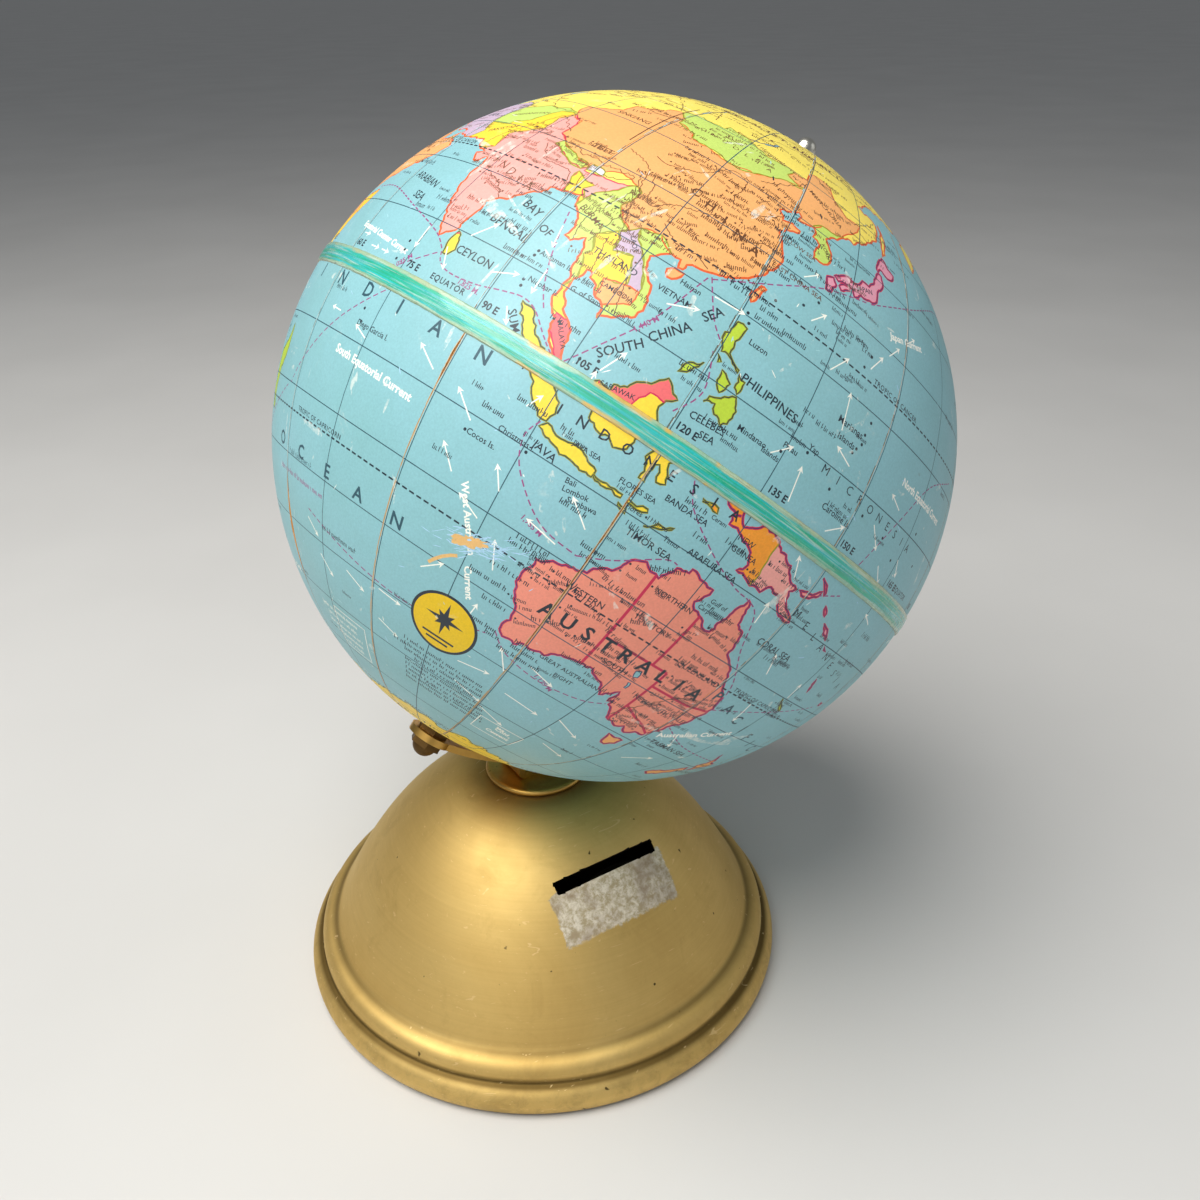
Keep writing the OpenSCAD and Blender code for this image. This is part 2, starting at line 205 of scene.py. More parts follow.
def bell_metal():
    """Gold lacquer on spun steel: lathe rings, tarnish, specks, scratches and the scuff by the slot, with shade painted
    into the bead's step, the fillet, the foot, the crown and the slot's walls.
    """
    n = Nodes("gold_lacquer")
    gold, dull, brown = srgb(222, 192, 122), srgb(182, 150, 84), srgb(88, 68, 32)
    cloud = n.ramp(n.noise(18, 6, 0.62, 0.5), 0.36, 0.68)
    blotch = n.ramp(n.noise(70, 5, 0.7, 0.8), 0.55, 0.72)
    fine = n.noise(1400, 2, 0.6)
    height = n.axis("Z")
    rings = n.noise(1.0, 3, 0.6, 0.0, None, (3.0, 3.0, 1500.0))
    specks = n.ramp(n.noise(260, 2, 0.6), 0.735, 0.765)
    scratch = n.ramp(n.noise(60, 2, 0.5, 2.5, None, (1.0, 4.0, 9.0)), 0.695, 0.71)
    foot = n.ramp(height, 0.0, 0.018, 1.0, 0.0)
    base = n.mix(n.math("MULTIPLY", cloud, 0.45), gold, dull)
    base = n.mix(n.math("MULTIPLY", blotch, 0.3), base, dull)
    base = n.mix(n.math("MULTIPLY", n.ramp(rings, 0.3, 0.7), 0.16), base, dull)
    grime = n.math("MULTIPLY", foot, n.ramp(n.noise(150, 5, 0.75, 0.5), 0.46, 0.62))
    base = n.mix(n.math("MULTIPLY", grime, 0.28), base, brown)
    groove = n.attribute("groove", "Fac")
    # Painted shade, with some grime, browns the bead's step, the fillet, the foot and the crown under the ball.
    base = n.mix(groove, base, brown)
    base = n.mix(n.math("MULTIPLY", scratch, 0.45), base, srgb(240, 214, 160))
    ragged = n.ramp(n.noise(340, 6, 0.8, 1.0), 0.3, 0.7, -0.4, 0.3)
    scuff = n.ramp(n.math("ADD", n.attribute("scuff", "Fac"), ragged), 0.35, 0.6)
    mottle = n.ramp(n.noise(520, 5, 0.75, 0.3), 0.4, 0.6)
    stain = n.ramp(n.noise(95, 3, 0.6, 0.4), 0.48, 0.66)
    residue = n.mix(mottle, srgb(176, 162, 132), srgb(226, 219, 204))
    residue = n.mix(n.math("MULTIPLY", stain, 0.6), residue, srgb(142, 122, 108))
    base = n.mix(n.math("MULTIPLY", scuff, 0.9), base, residue)
    base = n.mix(n.math("MULTIPLY", specks, 0.85), base, srgb(40, 28, 16))
    # The slot's walls are painted near black as shade.
    base = n.mix(n.ramp(groove, 0.9, 1.0), base, srgb(9, 7, 4))
    rough = n.ramp(n.math("ADD", cloud, n.math("MULTIPLY", fine, 0.6)), 0.2, 1.5, 0.56, 0.7)
    rough = n.math("ADD", rough, n.math("MULTIPLY", scuff, 0.2))
    grain = n.math("MULTIPLY", n.math("ADD", fine, specks), 0.4)
    n.bump(n.math("ADD", n.math("MULTIPLY", rings, 0.5), grain), 0.00005, 0.45)
    metallic = n.ramp(scuff, 0.0, 1.0, 1.0, 0.35)
    return n.set(Base_Color=base, Metallic=metallic, Roughness=rough)


def print_paper():
    """Varnished colour print: halftone speckle, yellowed varnish, rubbed patches, hairline scratches."""
    n = Nodes("map_print")
    ink = n.attribute("ink")
    speckle = n.ramp(n.noise(1900, 2, 0.7), 0.3, 0.7, 0.93, 1.06)
    age = n.ramp(n.noise(22, 5, 0.6, 0.4), 0.4, 0.7)
    base = n.mix(1.0, ink, speckle, "MULTIPLY")
    base = n.mix(n.math("MULTIPLY", age, 0.22), base, srgb(176, 196, 160), "MULTIPLY")
    rub = n.ramp(n.noise(75, 7, 0.75, 0.7), 0.6, 0.74)
    grit = n.ramp(n.noise(520, 3, 0.8), 0.42, 0.6)
    base = n.mix(n.math("MULTIPLY", n.math("MULTIPLY", rub, grit), 0.34), base, srgb(232, 236, 226))
    hair = n.ramp(n.noise(26, 2, 0.4, 3.0, None, (1.0, 5.0, 1.5)), 0.712, 0.72)
    hair_b = n.ramp(n.noise(34, 2, 0.4, 2.2, None, (4.0, 1.0, 2.0)), 0.722, 0.73)
    lines = n.math("MULTIPLY", n.math("MAXIMUM", hair, hair_b), grit)
    base = n.mix(n.math("MULTIPLY", lines, 0.55), base, srgb(236, 238, 228))
    dirt = n.ramp(n.noise(330, 4, 0.8), 0.7, 0.78)
    base = n.mix(n.math("MULTIPLY", dirt, 0.35), base, srgb(96, 84, 62))
    rough = n.ramp(n.math("ADD", n.math("MULTIPLY", rub, 0.8), n.noise(240, 4, 0.6)), 0.3, 1.4, 0.42, 0.68)
    fibre = n.math("ADD", n.math("MULTIPLY", n.noise(1500, 3, 0.7), 0.3), n.noise(60, 3, 0.5))
    n.bump(n.math("ADD", fibre, n.math("MULTIPLY", lines, -0.4)), 0.00009, 0.5)
    return n.set(Base_Color=base, Roughness=rough, Specular_IOR_Level=0.4,
                 Coat_Weight=0.12, Coat_Roughness=0.3)


def band_tape():
    """Varnished tape round the equator: teal core in long streaks with painted highlights of pale glare, see-through
    borders stained tan.
    """
    n = Nodes("equator_tape")
    strip = n.attribute("strip", "Vector")
    across = n.attribute("across", "Fac")
    under = n.attribute("under", "Fac")
    streak = n.noise(1.0, 5, 0.65, 0.5, strip, (7.0, 7.0, 5.0))
    long_streak = n.noise(1.0, 3, 0.5, 0.2, strip, (3.0, 3.0, 14.0))
    glint = n.ramp(n.noise(1.0, 4, 0.6, 0.3, strip, (6.0, 6.0, 20.0)), 0.5, 0.66)
    wobble = n.ramp(streak, 0.3, 0.7, -0.16, 0.16)
    from_core = n.math("ABSOLUTE", n.math("ADD", n.math("ADD", across, wobble), 0.04))
    core = n.ramp(from_core, 0.56, 0.74, 1.0, 0.0)
    teal = n.mix(n.ramp(long_streak, 0.42, 0.6), srgb(40, 176, 140), srgb(48, 188, 190))
    teal = n.mix(n.ramp(streak, 0.5, 0.75, 0.0, 0.5), teal, srgb(28, 130, 110))
    border = n.mix(n.ramp(streak, 0.35, 0.65), srgb(138, 190, 166), srgb(176, 190, 146))
    border = n.mix(n.math("MULTIPLY", under, 0.8), border, srgb(224, 178, 74))
    stain = n.ramp(n.noise(160, 5, 0.8, 0.6), 0.52, 0.68)
    border = n.mix(n.math("MULTIPLY", stain, 0.45), border, srgb(150, 128, 84))
    base = n.mix(core, border, teal)
    # Painted highlight: pale streaks of glare over the tape.
    base = n.mix(n.math("MULTIPLY", glint, 0.55), base, srgb(206, 228, 212))
    rim = n.ramp(n.math("ABSOLUTE", across), 0.88, 0.99)
    base = n.mix(n.math("MULTIPLY", rim, 0.75), base, srgb(112, 88, 48))
    rough = n.ramp(n.noise(260, 4, 0.6), 0.3, 0.7, 0.16, 0.36)
    n.bump(n.math("ADD", n.math("MULTIPLY", streak, 1.2), n.math("MULTIPLY", glint, 0.6)), 0.00018, 0.7)
    return n.set(Base_Color=base, Roughness=rough, Coat_Weight=0.5, Coat_Roughness=0.12)


def card():
    n = Nodes("pressed_card")
    fibre = n.noise(420, 6, 0.75, 0.4)
    base = n.mix(n.ramp(fibre, 0.35, 0.65), srgb(206, 160, 100), srgb(150, 112, 66))
    n.bump(fibre, 0.0002, 0.6)
    return n.set(Base_Color=base, Roughness=n.ramp(fibre, 0.3, 0.7, 0.75, 0.95))


def rubber():
    n = Nodes("black_rubber")
    fine = n.noise(700, 5, 0.7)
    base = n.mix(n.ramp(n.noise(90, 4, 0.6), 0.4, 0.7), srgb(34, 33, 32), srgb(62, 60, 56))
    n.bump(fine, 0.00015, 0.6)
    return n.set(Base_Color=base, Roughness=n.ramp(fine, 0.3, 0.7, 0.6, 0.85))


MATERIALS = {
    "gold_metal": metal("gold_satin", srgb(222, 180, 98), srgb(136, 98, 44), 0.34),
    # Aged brass for the bracket and nuts, darkened further as painted shade for where it sits under the ball.
    "brass_hardware": metal("aged_brass_in_painted_shade", srgb(122, 94, 54), srgb(46, 34, 20), 0.48, 0.7),
    "plated_steel": metal("zinc_plate", srgb(176, 174, 168), srgb(110, 104, 94), 0.38, 0.4),
    "pale_cap": metal("nickel_cap", srgb(226, 224, 214), srgb(170, 160, 140), 0.3, 0.3),
    "card": card(),
    "map_paper": print_paper(),
    "band_tape": band_tape(),
    "black_rubber": rubber(),
}
BELL_METAL = bell_metal()


def dress(obj, slot, body=None, material=None):
    """Gives a piece its material, the one for its slot unless another is given, and puts it on its body."""
    obj.data.materials.clear()
    obj.data.materials.append(material or MATERIALS[slot])
    if body:
        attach(obj, body)
    return obj


# ---- The bell ------------------------------------------------------------
# Millimetres. Radii of the lower and upper bead, the flank's foot and the crown, then heights.
FOOT_R, UPPER_R, FLANK_R, CROWN_R = 72.5, 68.7, 62.9, 15.2
FLANK_H, CROWN_H, BEAD_H = 17.0, 63.2, 9.1
METAL_T, HEM_W, BOLT_HOLE_R = 1.0, 2.6, 3.1
# The coin slot, how far up the flank's curve it is, from 0 to 1, and its softened edge.
SLOT_L, SLOT_W, SLOT_PLACE, LIP = 32.0, 3.0, 0.62, 0.35
BELL_TURNS = 384


def arc(centre, rx, rz, start, end, steps):
    """Points of an elliptic arc, between angles in degrees."""
    angles = (math.radians(start + (end - start) * i / steps) for i in range(steps + 1))
    return [(centre[0] + rx * math.cos(a), centre[1] + rz * math.sin(a)) for a in angles]


def bezier(p, t):
    """The point at t, from 0 to 1, on a cubic curve with four control points."""
    u = 1 - t
    return tuple(u**3 * a + 3 * u * u * t * b + 3 * u * t * t * c + t**3 * d for a, b, c, d in zip(*p))


FLANK = ((FLANK_R, FLANK_H), (FLANK_R - 8.9, FLANK_H + 18),
         (CROWN_R + 21.3, CROWN_H - 1.7), (CROWN_R, CROWN_H))


def bell_outline():
    """Outside of the bell from the foot to the bolt hole, radius and height in millimetres."""
    foot = arc((FOOT_R - 4.2, 4.2), 4.2, BEAD_H - 4.2, -58, 80, 40)
    upper = arc((UPPER_R - 4.1, 10.8), 4.1, 4.4, 4, 74, 26)
    corner = [(UPPER_R + 0.04, BEAD_H + 0.12), (UPPER_R - 0.1, BEAD_H + 0.45)]
    bend = ((65.0, 15.3), (63.9, 15.75), (63.4, 16.1), (FLANK_R, FLANK_H))
    fillet = [bezier(bend, t / 5) for t in range(5)]
    flank = [bezier(FLANK, t / 64) for t in range(65)]
    top = [(CROWN_R - 4, CROWN_H + 0.02), (BOLT_HOLE_R, CROWN_H + 0.02)]
    return foot + corner + upper + fillet + flank + top


def offset(line, distance):
    """A line moved sideways by a distance, for the inside of the metal."""
    out = []
    for i in range(len(line)):
        a, b = Vector(line[max(i - 1, 0)]), Vector(line[min(i + 1, len(line) - 1)])
        s = (b - a).normalized()
        out.append((line[i][0] - s.y * distance, line[i][1] + s.x * distance))
    return out


def lathe(name, outline, turns):
    """A mesh from an outline of radius and height, in millimetres, turned round Z."""
    verts, faces = [], []
    for k in range(turns):
        a = math.tau * k / turns
        verts += [(r * math.cos(a) * MM, r * math.sin(a) * MM, z * MM) for r, z in outline]
    count = len(outline)
    for k in range(turns):
        m = (k + 1) % turns
        for i in range(count):
            j = (i + 1) % count
            faces.append((k * count + i, m * count + i, m * count + j, k * count + j))
    return mesh_object(name, verts, faces)


def slot_frame():
    """Middle of the coin slot on the flank, and its outward and downhill directions."""
    r, z = bezier(FLANK, SLOT_PLACE)
    lo, hi = bezier(FLANK, SLOT_PLACE - 0.01), bezier(FLANK, SLOT_PLACE + 0.01)
    run = Vector((0, -(hi[0] - lo[0]), hi[1] - lo[1])).normalized()
    out = Vector((0, -run.z, run.y))
    return Vector((0, -r, z)), out, run


def flank_depth(point, out):
    """How far outward from a point, in millimetres, the flank's surface lies."""
    line = [bezier(FLANK, t / 80) for t in range(81)]

    def outside(distance):
        p = point + out * distance
        radius = math.hypot(p.x, p.y)
        for (r0, z0), (r1, z1) in zip(line, line[1:]):
            if z0 <= p.z <= z1:
                return radius > r0 + (r1 - r0) * (p.z - z0) / (z1 - z0)
        return p.z > line[-1][1]
    low, high = -12.0, 8.0
    for _ in range(24):
        middle = (low + high) / 2
        low, high = (low, middle) if outside(middle) else (middle, high)
    return high


def slot_cutter():
    """The punch that opens the slot, flared where it meets the outside so that the lip is softened."""
    centre, out, run = slot_frame()
    side = Vector((1, 0, 0))
    steps = 24

    def ring(grow, lift, fixed=None):
        """One loop of the punch, at a height over the flank or at a fixed depth."""
        corner, loop = 0.5, []
        half_l, half_w = SLOT_L / 2 + grow, SLOT_W / 2 + grow
        for sx, sy, turn in ((1, 1, 0), (-1, 1, 90), (-1, -1, 180), (1, -1, 270)):
            for step in range(5):
                a = math.radians(turn + 90 * step / 4)
                loop.append((sx * (half_l - corner) + corner * math.cos(a),
                             sy * (half_w - corner) + corner * math.sin(a)))
        spread = []
        for (x0, y0), (x1, y1) in zip(loop, loop[1:] + loop[:1]):
            pieces = steps if abs(x1 - x0) > SLOT_W else 1
            spread += [(x0 + (x1 - x0) * i / pieces, y0 + (y1 - y0) * i / pieces) for i in range(pieces)]
        verts = []
        for x, y in spread:
            p = centre + side * x + run * y
            depth = fixed if fixed is not None else flank_depth(p, out) + lift
            verts.append((p + out * depth) * MM)
        return verts
    rings = [ring(0, 0, -9.0), ring(0, -LIP), ring(LIP, 0.0), ring(LIP * 1.2, 2.0)]
    verts = [v for loop in rings for v in loop]
    n = len(rings[0])
    faces = [tuple(range(n))[::-1], tuple(range(3 * n, 4 * n))]
    for level in range(3):
        for i in range(n):
            j = (i + 1) % n
            faces.append((level * n + i, level * n + j, (level + 1) * n + j, (level + 1) * n + i))
    cutter = mesh_object("slot_cutter", verts, faces)
    face_outward(cutter)
    return cutter


def surface_normals(mesh, outline):
    """Smooth normals from the bell's own outline, and flat ones on cut edges."""
    outline_v = [Vector(p) for p in outline]
    slopes = []
    for i in range(len(outline_v)):
        a, b = outline_v[max(i - 1, 0)], outline_v[min(i + 1, len(outline_v) - 1)]
        s = (b - a).normalized()
        slopes.append(Vector((s.y, -s.x)))
    cache = {}

    def true_normal(co):
        r = math.hypot(co.x, co.y) / MM
        z = co.z / MM
        key = (round(r, 2), round(z, 2))
        if key not in cache:
            i = min(range(len(outline_v)), key=lambda k: (outline_v[k].x - r)**2 + (outline_v[k].y - z)**2)
            near = (outline_v[i].x - r)**2 + (outline_v[i].y - z)**2 < 0.35
            cache[key] = slopes[i] if near else None
        s = cache[key]
        if s is None:
            return None
        return Vector((s.x * co.x / (r * MM), s.x * co.y / (r * MM), s.y))
    normals = []
    for poly in mesh.polygons:
        for index in poly.vertices:
            normal = true_normal(mesh.vertices[index].co)
            good = normal is not None and normal.dot(poly.normal) > 0.93
            normals.append(normal.normalized() if good else poly.normal)
    mesh.normals_split_custom_set([tuple(v) for v in normals])


def paint_bell(mesh):
    """Marks, for the material, where shade is painted in with some grime (the bead's step, the fillet, the foot and the
    crown under the ball), the slot's walls, painted near black as shade, and the sticker's residue below it.
    """
    centre, out, run = slot_frame()
    groove = mesh.attributes.new("groove", "FLOAT", "CORNER")
    scuff = mesh.attributes.new("scuff", "FLOAT", "CORNER")
    half_l, half_w = SLOT_L / 2 + 2 * LIP, SLOT_W / 2 + 2 * LIP
    marks = []
    for v in mesh.vertices:
        r, z = math.hypot(v.co.x, v.co.y) / MM, v.co.z / MM
        # Painted shade, with some grime: in the step under the upper bead, along the foot on the floor, in the fillet,
        # and round the crown where the ball's shadow falls.
        close = math.exp(-(((z - BEAD_H) / 0.75)**2)) if r > UPPER_R - 2.5 else 0.0
        foot = math.exp(-((z / 1.1)**2))
        fillet = 0.6 * math.exp(-(((z - 15.6) / 0.7)**2 + ((r - 64.0) / 1.6)**2))
        crown = 0.5 * math.exp(-((max(r - CROWN_R, 0) / 5)**2)) if z > CROWN_H - 6 else 0.0
        p = v.co / MM - centre
        x, down = p.x, -p.dot(run)
        inside_bell = p.dot(out) < -5
        residue = min((x + 20) / 2, (19 - x) / 2, (down - 0.8) / 0.6, (17.2 - down) / 2.5)
        patch = 0.0 if inside_bell else max(0.0, min(1.0, residue))
        in_slot = abs(x) < half_l and abs(down) < half_w and not inside_bell
        marks.append((min(0.85, close + 0.7 * foot + fillet + crown), patch, in_slot))
    for polygon in mesh.polygons:
        # The slot's walls get the full mark, which paints them near black as shade.
        wall = all(marks[i][2] for i in polygon.vertices)
        for loop in polygon.loop_indices:
            dark, patch, _ = marks[mesh.loops[loop].vertex_index]
            groove.data[loop].value = 1.0 if wall else dark
            scuff.data[loop].value = 0.0 if wall else patch


def bell():
    """The spun bell with its two beads, curled hem and coin slot."""
    outline = bell_outline()
    inside = [p for p in offset(outline, METAL_T)
              if p[1] > METAL_T + 0.2 and BOLT_HOLE_R < p[0] < FOOT_R - 1.2][::2]
    hem = [(FOOT_R - 2.1, METAL_T), (FOOT_R - 2.2 - HEM_W, METAL_T),
           (FOOT_R - 2.2 - HEM_W, 0.25), (FOOT_R - 2.0 - HEM_W, 0.0), (FOOT_R - 1.9, 0.0)]
    outer = [p for p in outline if p[1] > 0.05]
    loop = outer + [(BOLT_HOLE_R, CROWN_H - METAL_T)] + inside[::-1] + hem
    piece = lathe("bell", loop, BELL_TURNS)
    face_outward(piece)
    cutter = slot_cutter()
    cut = piece.modifiers.new("slot", "BOOLEAN")
    cut.object, cut.operation, cut.solver = cutter, "DIFFERENCE", "EXACT"
    bpy.context.view_layer.update()
    evaluated = piece.evaluated_get(bpy.context.evaluated_depsgraph_get())
    mesh = bpy.data.meshes.new_from_object(evaluated)
    piece.modifiers.clear()
    piece.data = mesh
    bpy.data.objects.remove(cutter)
    mesh.polygons.foreach_set("use_smooth", [True] * len(mesh.polygons))
    surface_normals(mesh, outer)
    paint_bell(mesh)
    dress(piece, "gold_metal", "base", BELL_METAL)
    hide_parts("base_dome")


def collar():
    """Thin domed disc on the crown, with a rolled rim."""
    t = 2.1
    rim = arc((CROWN_R - 1, t - 1), 1.0, 1.0, -60, 90, 12)
    outline = [(BOLT_HOLE_R, 0.02), (CROWN_R - 1.6, 0.02), (CROWN_R - 0.9, 0.1)] + rim
    outline += [(CROWN_R - 1.8, t - 0.03), (CROWN_R - 2.6, t - 0.12), (CROWN_R - 3.4, t - 0.03),
                (CROWN_R - 4.2, t), (BOLT_HOLE_R, t)]
    piece = lathe("collar", [(r, z + CROWN_H) for r, z in outline], BELL_TURNS // 2)
    face_outward(piece)
    smooth(piece, 40)
    dress(piece, "gold_metal", "base")
    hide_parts("collar_disc")


# ---- The printed map: inks -----------------------------------------------
INKS = {
    "ocean": srgb(140, 192, 201), "yellow": srgb(250, 214, 62), "ussr": srgb(251, 228, 104),
    "orange": srgb(243, 176, 110), "pink": srgb(244, 168, 160), "green": srgb(196, 220, 110),
    "leaf": srgb(186, 212, 64), "lavender": srgb(198, 176, 198), "red": srgb(236, 108, 112),
    "salmon": srgb(240, 148, 126), "rose": srgb(232, 160, 182), "pale": srgb(226, 226, 236),
    "amber": srgb(246, 158, 50), "ice": srgb(250, 214, 60),
    "black": srgb(34, 46, 58), "brown": srgb(104, 66, 40), "grid": srgb(48, 84, 98),
    "purple": srgb(150, 74, 128), "magenta": srgb(206, 42, 84), "olive": srgb(150, 152, 38),
    "rust": srgb(224, 96, 44), "white": srgb(250, 250, 240), "navy": srgb(52, 52, 104),
    "label": srgb(236, 196, 10), "card": srgb(226, 168, 96), "chalk": srgb(176, 214, 244),
    "torn": srgb(232, 186, 120), "seam": srgb(200, 178, 138), "dirt": srgb(96, 116, 112),
    # The next ink, a lighter copy of the ocean blue, is a painted highlight.
    "painted_sheen": srgb(170, 218, 226),
}
# What lies over what. Regions, borders and rivers print only on land.
LAND, REGION, LAKE, COAST, BORDER, GRID, ROUTE, LETTER, LABEL, LABEL_INK, WEAR, WEAR_TOP = range(12)
LAND_ONLY = (REGION, BORDER)
SHAPES = []
DICE = random.Random(7)


def points(text):
    """Longitude and latitude pairs, in degrees, from a line of text."""
    return [tuple(float(v) for v in pair.split(",")) for pair in text.split()]


def signed_area(shape):
    """Twice a shape's area, below zero where its points run clockwise."""
    return sum(a[0] * b[1] - b[0] * a[1] for a, b in zip(shape, shape[1:] + shape[:1]))


def anticlockwise(shape):
    return shape[::-1] if signed_area(shape) < 0 else shape


def squeeze(lat, least=0.15):
    """How short a degree of longitude is beside one of latitude, but never shorter than the least."""
    return max(least, math.cos(math.radians(lat)))


def line_of_print(lon, lat, angle=0.0):
    """A function from offsets in degrees, along and up a line of print, to longitude and latitude."""
    c, s, k = math.cos(math.radians(angle)), math.sin(math.radians(angle)), squeeze(lat)
    return lambda x, y: (lon + (x * c - y * s) / k, lat + x * s + y * c)


def add(shape, rank, ink):
    """Keeps one filled shape, longitude and latitude in degrees."""
    if abs(signed_area(shape)) < 1e-7:
        return
    shape = anticlockwise(shape)
    lon = [p[0] for p in shape]
    lat = [p[1] for p in shape]
    SHAPES.append((shape, rank, ink, min(lon), max(lon), min(lat), max(lat)))


def roughened(line, step=0.8, swing=0.17, closed=True):
    """Breaks a given line into the small bays and points of a printed coast."""
    out = []
    ends = line[1:] + line[:1] if closed else line[1:]
    for a, b in zip(line, ends):
        run = [a, b]
        while True:
            k = squeeze((a[1] + b[1]) / 2, 0)
            length = math.hypot((run[1][0] - run[0][0]) * k, run[1][1] - run[0][1])
            if length < step or len(run) > 40 or abs(a[1]) > 85:
                break
            finer = []
            for p, q in zip(run, run[1:]):
                shift = DICE.uniform(-swing, swing)
                dx, dy = q[0] - p[0], q[1] - p[1]
                finer += [p, ((p[0] + q[0]) / 2 - dy * shift, (p[1] + q[1]) / 2 + dx * shift)]
            run = finer + [run[-1]]
        out += run[:-1]
    return out if closed else out + [line[-1]]


def ribbon(line, width, rank, ink, closed=False):
    """A line of one width, in degrees, as joined quads."""
    n = len(line)
    sides = []
    for i in range(n):
        a = line[i - 1] if closed or i else line[0]
        b = line[(i + 1) % n] if closed or i < n - 1 else line[-1]
        k = squeeze(line[i][1], 0.12)
        dx, dy = (b[0] - a[0]) * k, b[1] - a[1]
        length = math.hypot(dx, dy) or 1.0
        nx, ny = -dy / length * width / 2 / k, dx / length * width / 2
        sides.append(((line[i][0] + nx, line[i][1] + ny), (line[i][0] - nx, line[i][1] - ny)))
    for i in range(n if closed else n - 1):
        (a, b), (c, d) = sides[i], sides[(i + 1) % n]
        add([b, d, c, a], rank, ink)


def spaced(line, step):
    """The same line with points no further apart than a step."""
    out = [line[0]]
    for a, b in zip(line, line[1:]):
        dx, dy = b[0] - a[0], b[1] - a[1]
        count = max(1, math.ceil(math.hypot(dx * squeeze((a[1] + b[1]) / 2, 0), dy) / step))
        out += [(a[0] + dx * i / count, a[1] + dy * i / count) for i in range(1, count + 1)]
    return out


def dashes(line, width, dash, gap, rank, ink):
    """A dashed line: each dash and gap together take six short steps."""
    period = 6
    fine = spaced(line, (dash + gap) / period)
    on = max(1, round(period * dash / (dash + gap)))
    for i in range(0, len(fine) - 1, period):
        piece = fine[i:i + on + 1]
        if len(piece) > 1:
            ribbon(piece, width, rank, ink)


def curve_through(line, steps=6):
    """A smooth line through given points."""
    out = []
    for i in range(len(line) - 1):
        p0, p1, p2 = line[max(i - 1, 0)], line[i], line[i + 1]
        p3 = line[min(i + 2, len(line) - 1)]
        for s in range(steps):
            t = s / steps
            out.append(tuple(0.5 * (2 * b + (c - a) * t + (2 * a - 5 * b + 4 * c - d) * t * t
                                    + (3 * b - a - 3 * c + d) * t**3) for a, b, c, d in zip(p0, p1, p2, p3)))
    return out + [line[-1]]


# ---- The printed map: lettering, arrows and marks --------------------------
GLYPHS = {}


def glyphs(text, bold, spread):
    """A word's letters as triangles about its middle, one unit being the letter size."""
    key = (text, bold, spread)
    if key not in GLYPHS:
        curve = bpy.data.curves.new("letters", "FONT")
        curve.body = text
        curve.resolution_u = 2
        curve.offset = bold
        curve.space_character = spread
        obj = bpy.data.objects.new("letters", curve)
        mesh = bpy.data.meshes.new_from_object(obj)
        xs = [v.co.x for v in mesh.vertices] or [0]
        middle = (min(xs) + max(xs)) / 2
        GLYPHS[key] = [[(mesh.vertices[i].co.x - middle, mesh.vertices[i].co.y - 0.35) for i in p.vertices]
                       for p in mesh.polygons]
        bpy.data.meshes.remove(mesh)
        bpy.data.objects.remove(obj)
        bpy.data.curves.remove(curve)
    return GLYPHS[key]


def letters(text, lon, lat, size, ink="black", angle=0.0, bold=0.012, spread=1.0):
    """Prints a word centred on a place; size is the letter size in degrees."""
    place = line_of_print(lon, lat, angle)
    for face in glyphs(text, bold, spread):
        add([place(x * size, y * size) for x, y in face], LETTER, ink)


def spread_letters(word, start, end, size, ink="black", bold=0.03):
    """Single letters spaced evenly from one place to another."""
    for i, letter in enumerate(word):
        t = i / max(1, len(word) - 1)
        lon, lat = start[0] + (end[0] - start[0]) * t, start[1] + (end[1] - start[1]) * t
        letters(letter, lon, lat, size, ink, 0, bold)


def small_name(lon, lat, count, size, ink, dice, angle=0.0):
    """A place name too small to read: strokes the size and rhythm of letters."""
    place = line_of_print(lon, lat, angle)

    def bar(x0, y0, x1, y1):
        add([place(x0, y0), place(x1, y0), place(x1, y1), place(x0, y1)], LETTER, ink)
    x, thin = -count * size * 0.35, size * 0.15
    for i in range(count):
        tall = size if i == 0 or dice.random() < 0.25 else size * 0.66
        bar(x, 0, x + thin, tall)
        kind = dice.random()
        if kind < 0.6:
            bar(x + size * 0.36, 0, x + size * 0.36 + thin, size * 0.66)
        if kind < 0.75:
            level = dice.choice((0, size * 0.3, size * 0.54))
            bar(x, level, x + size * 0.42, level + thin * 0.8)
        x += size * 0.68


def arrow(lon, lat, angle, length):
    """A current arrow: a thin white shaft that ends in a barbed head."""
    place = line_of_print(lon, lat, angle)
    tip = length / 2
    for shape in (
            [(-tip, -0.09), (tip - 0.5, -0.09), (tip - 0.5, 0.09), (-tip, 0.09)],
            [(tip, 0), (tip - 0.95, 0.5), (tip - 0.62, 0)],
            [(tip, 0), (tip - 0.62, 0), (tip - 0.95, -0.5)]):
        add([place(x, y) for x, y in shape], LETTER, "white")


def blob(lon, lat, rx, ry, rank, ink, ragged=0.35, count=22, angle=0.0):
    """A torn or rubbed patch with a ragged edge."""
    place = line_of_print(lon, lat, angle)
    shape = []
    for i in range(count):
        a = math.tau * i / count
        r = 1 - ragged * DICE.random()
        shape.append(place(rx * r * math.cos(a), ry * r * math.sin(a)))
    add(shape, rank, ink)


def place_dot(lon, lat, radius, ink="black"):
    """The dot of a town or a small island."""
    blob(lon, lat, radius, radius, LETTER, ink, 0.0, 8)


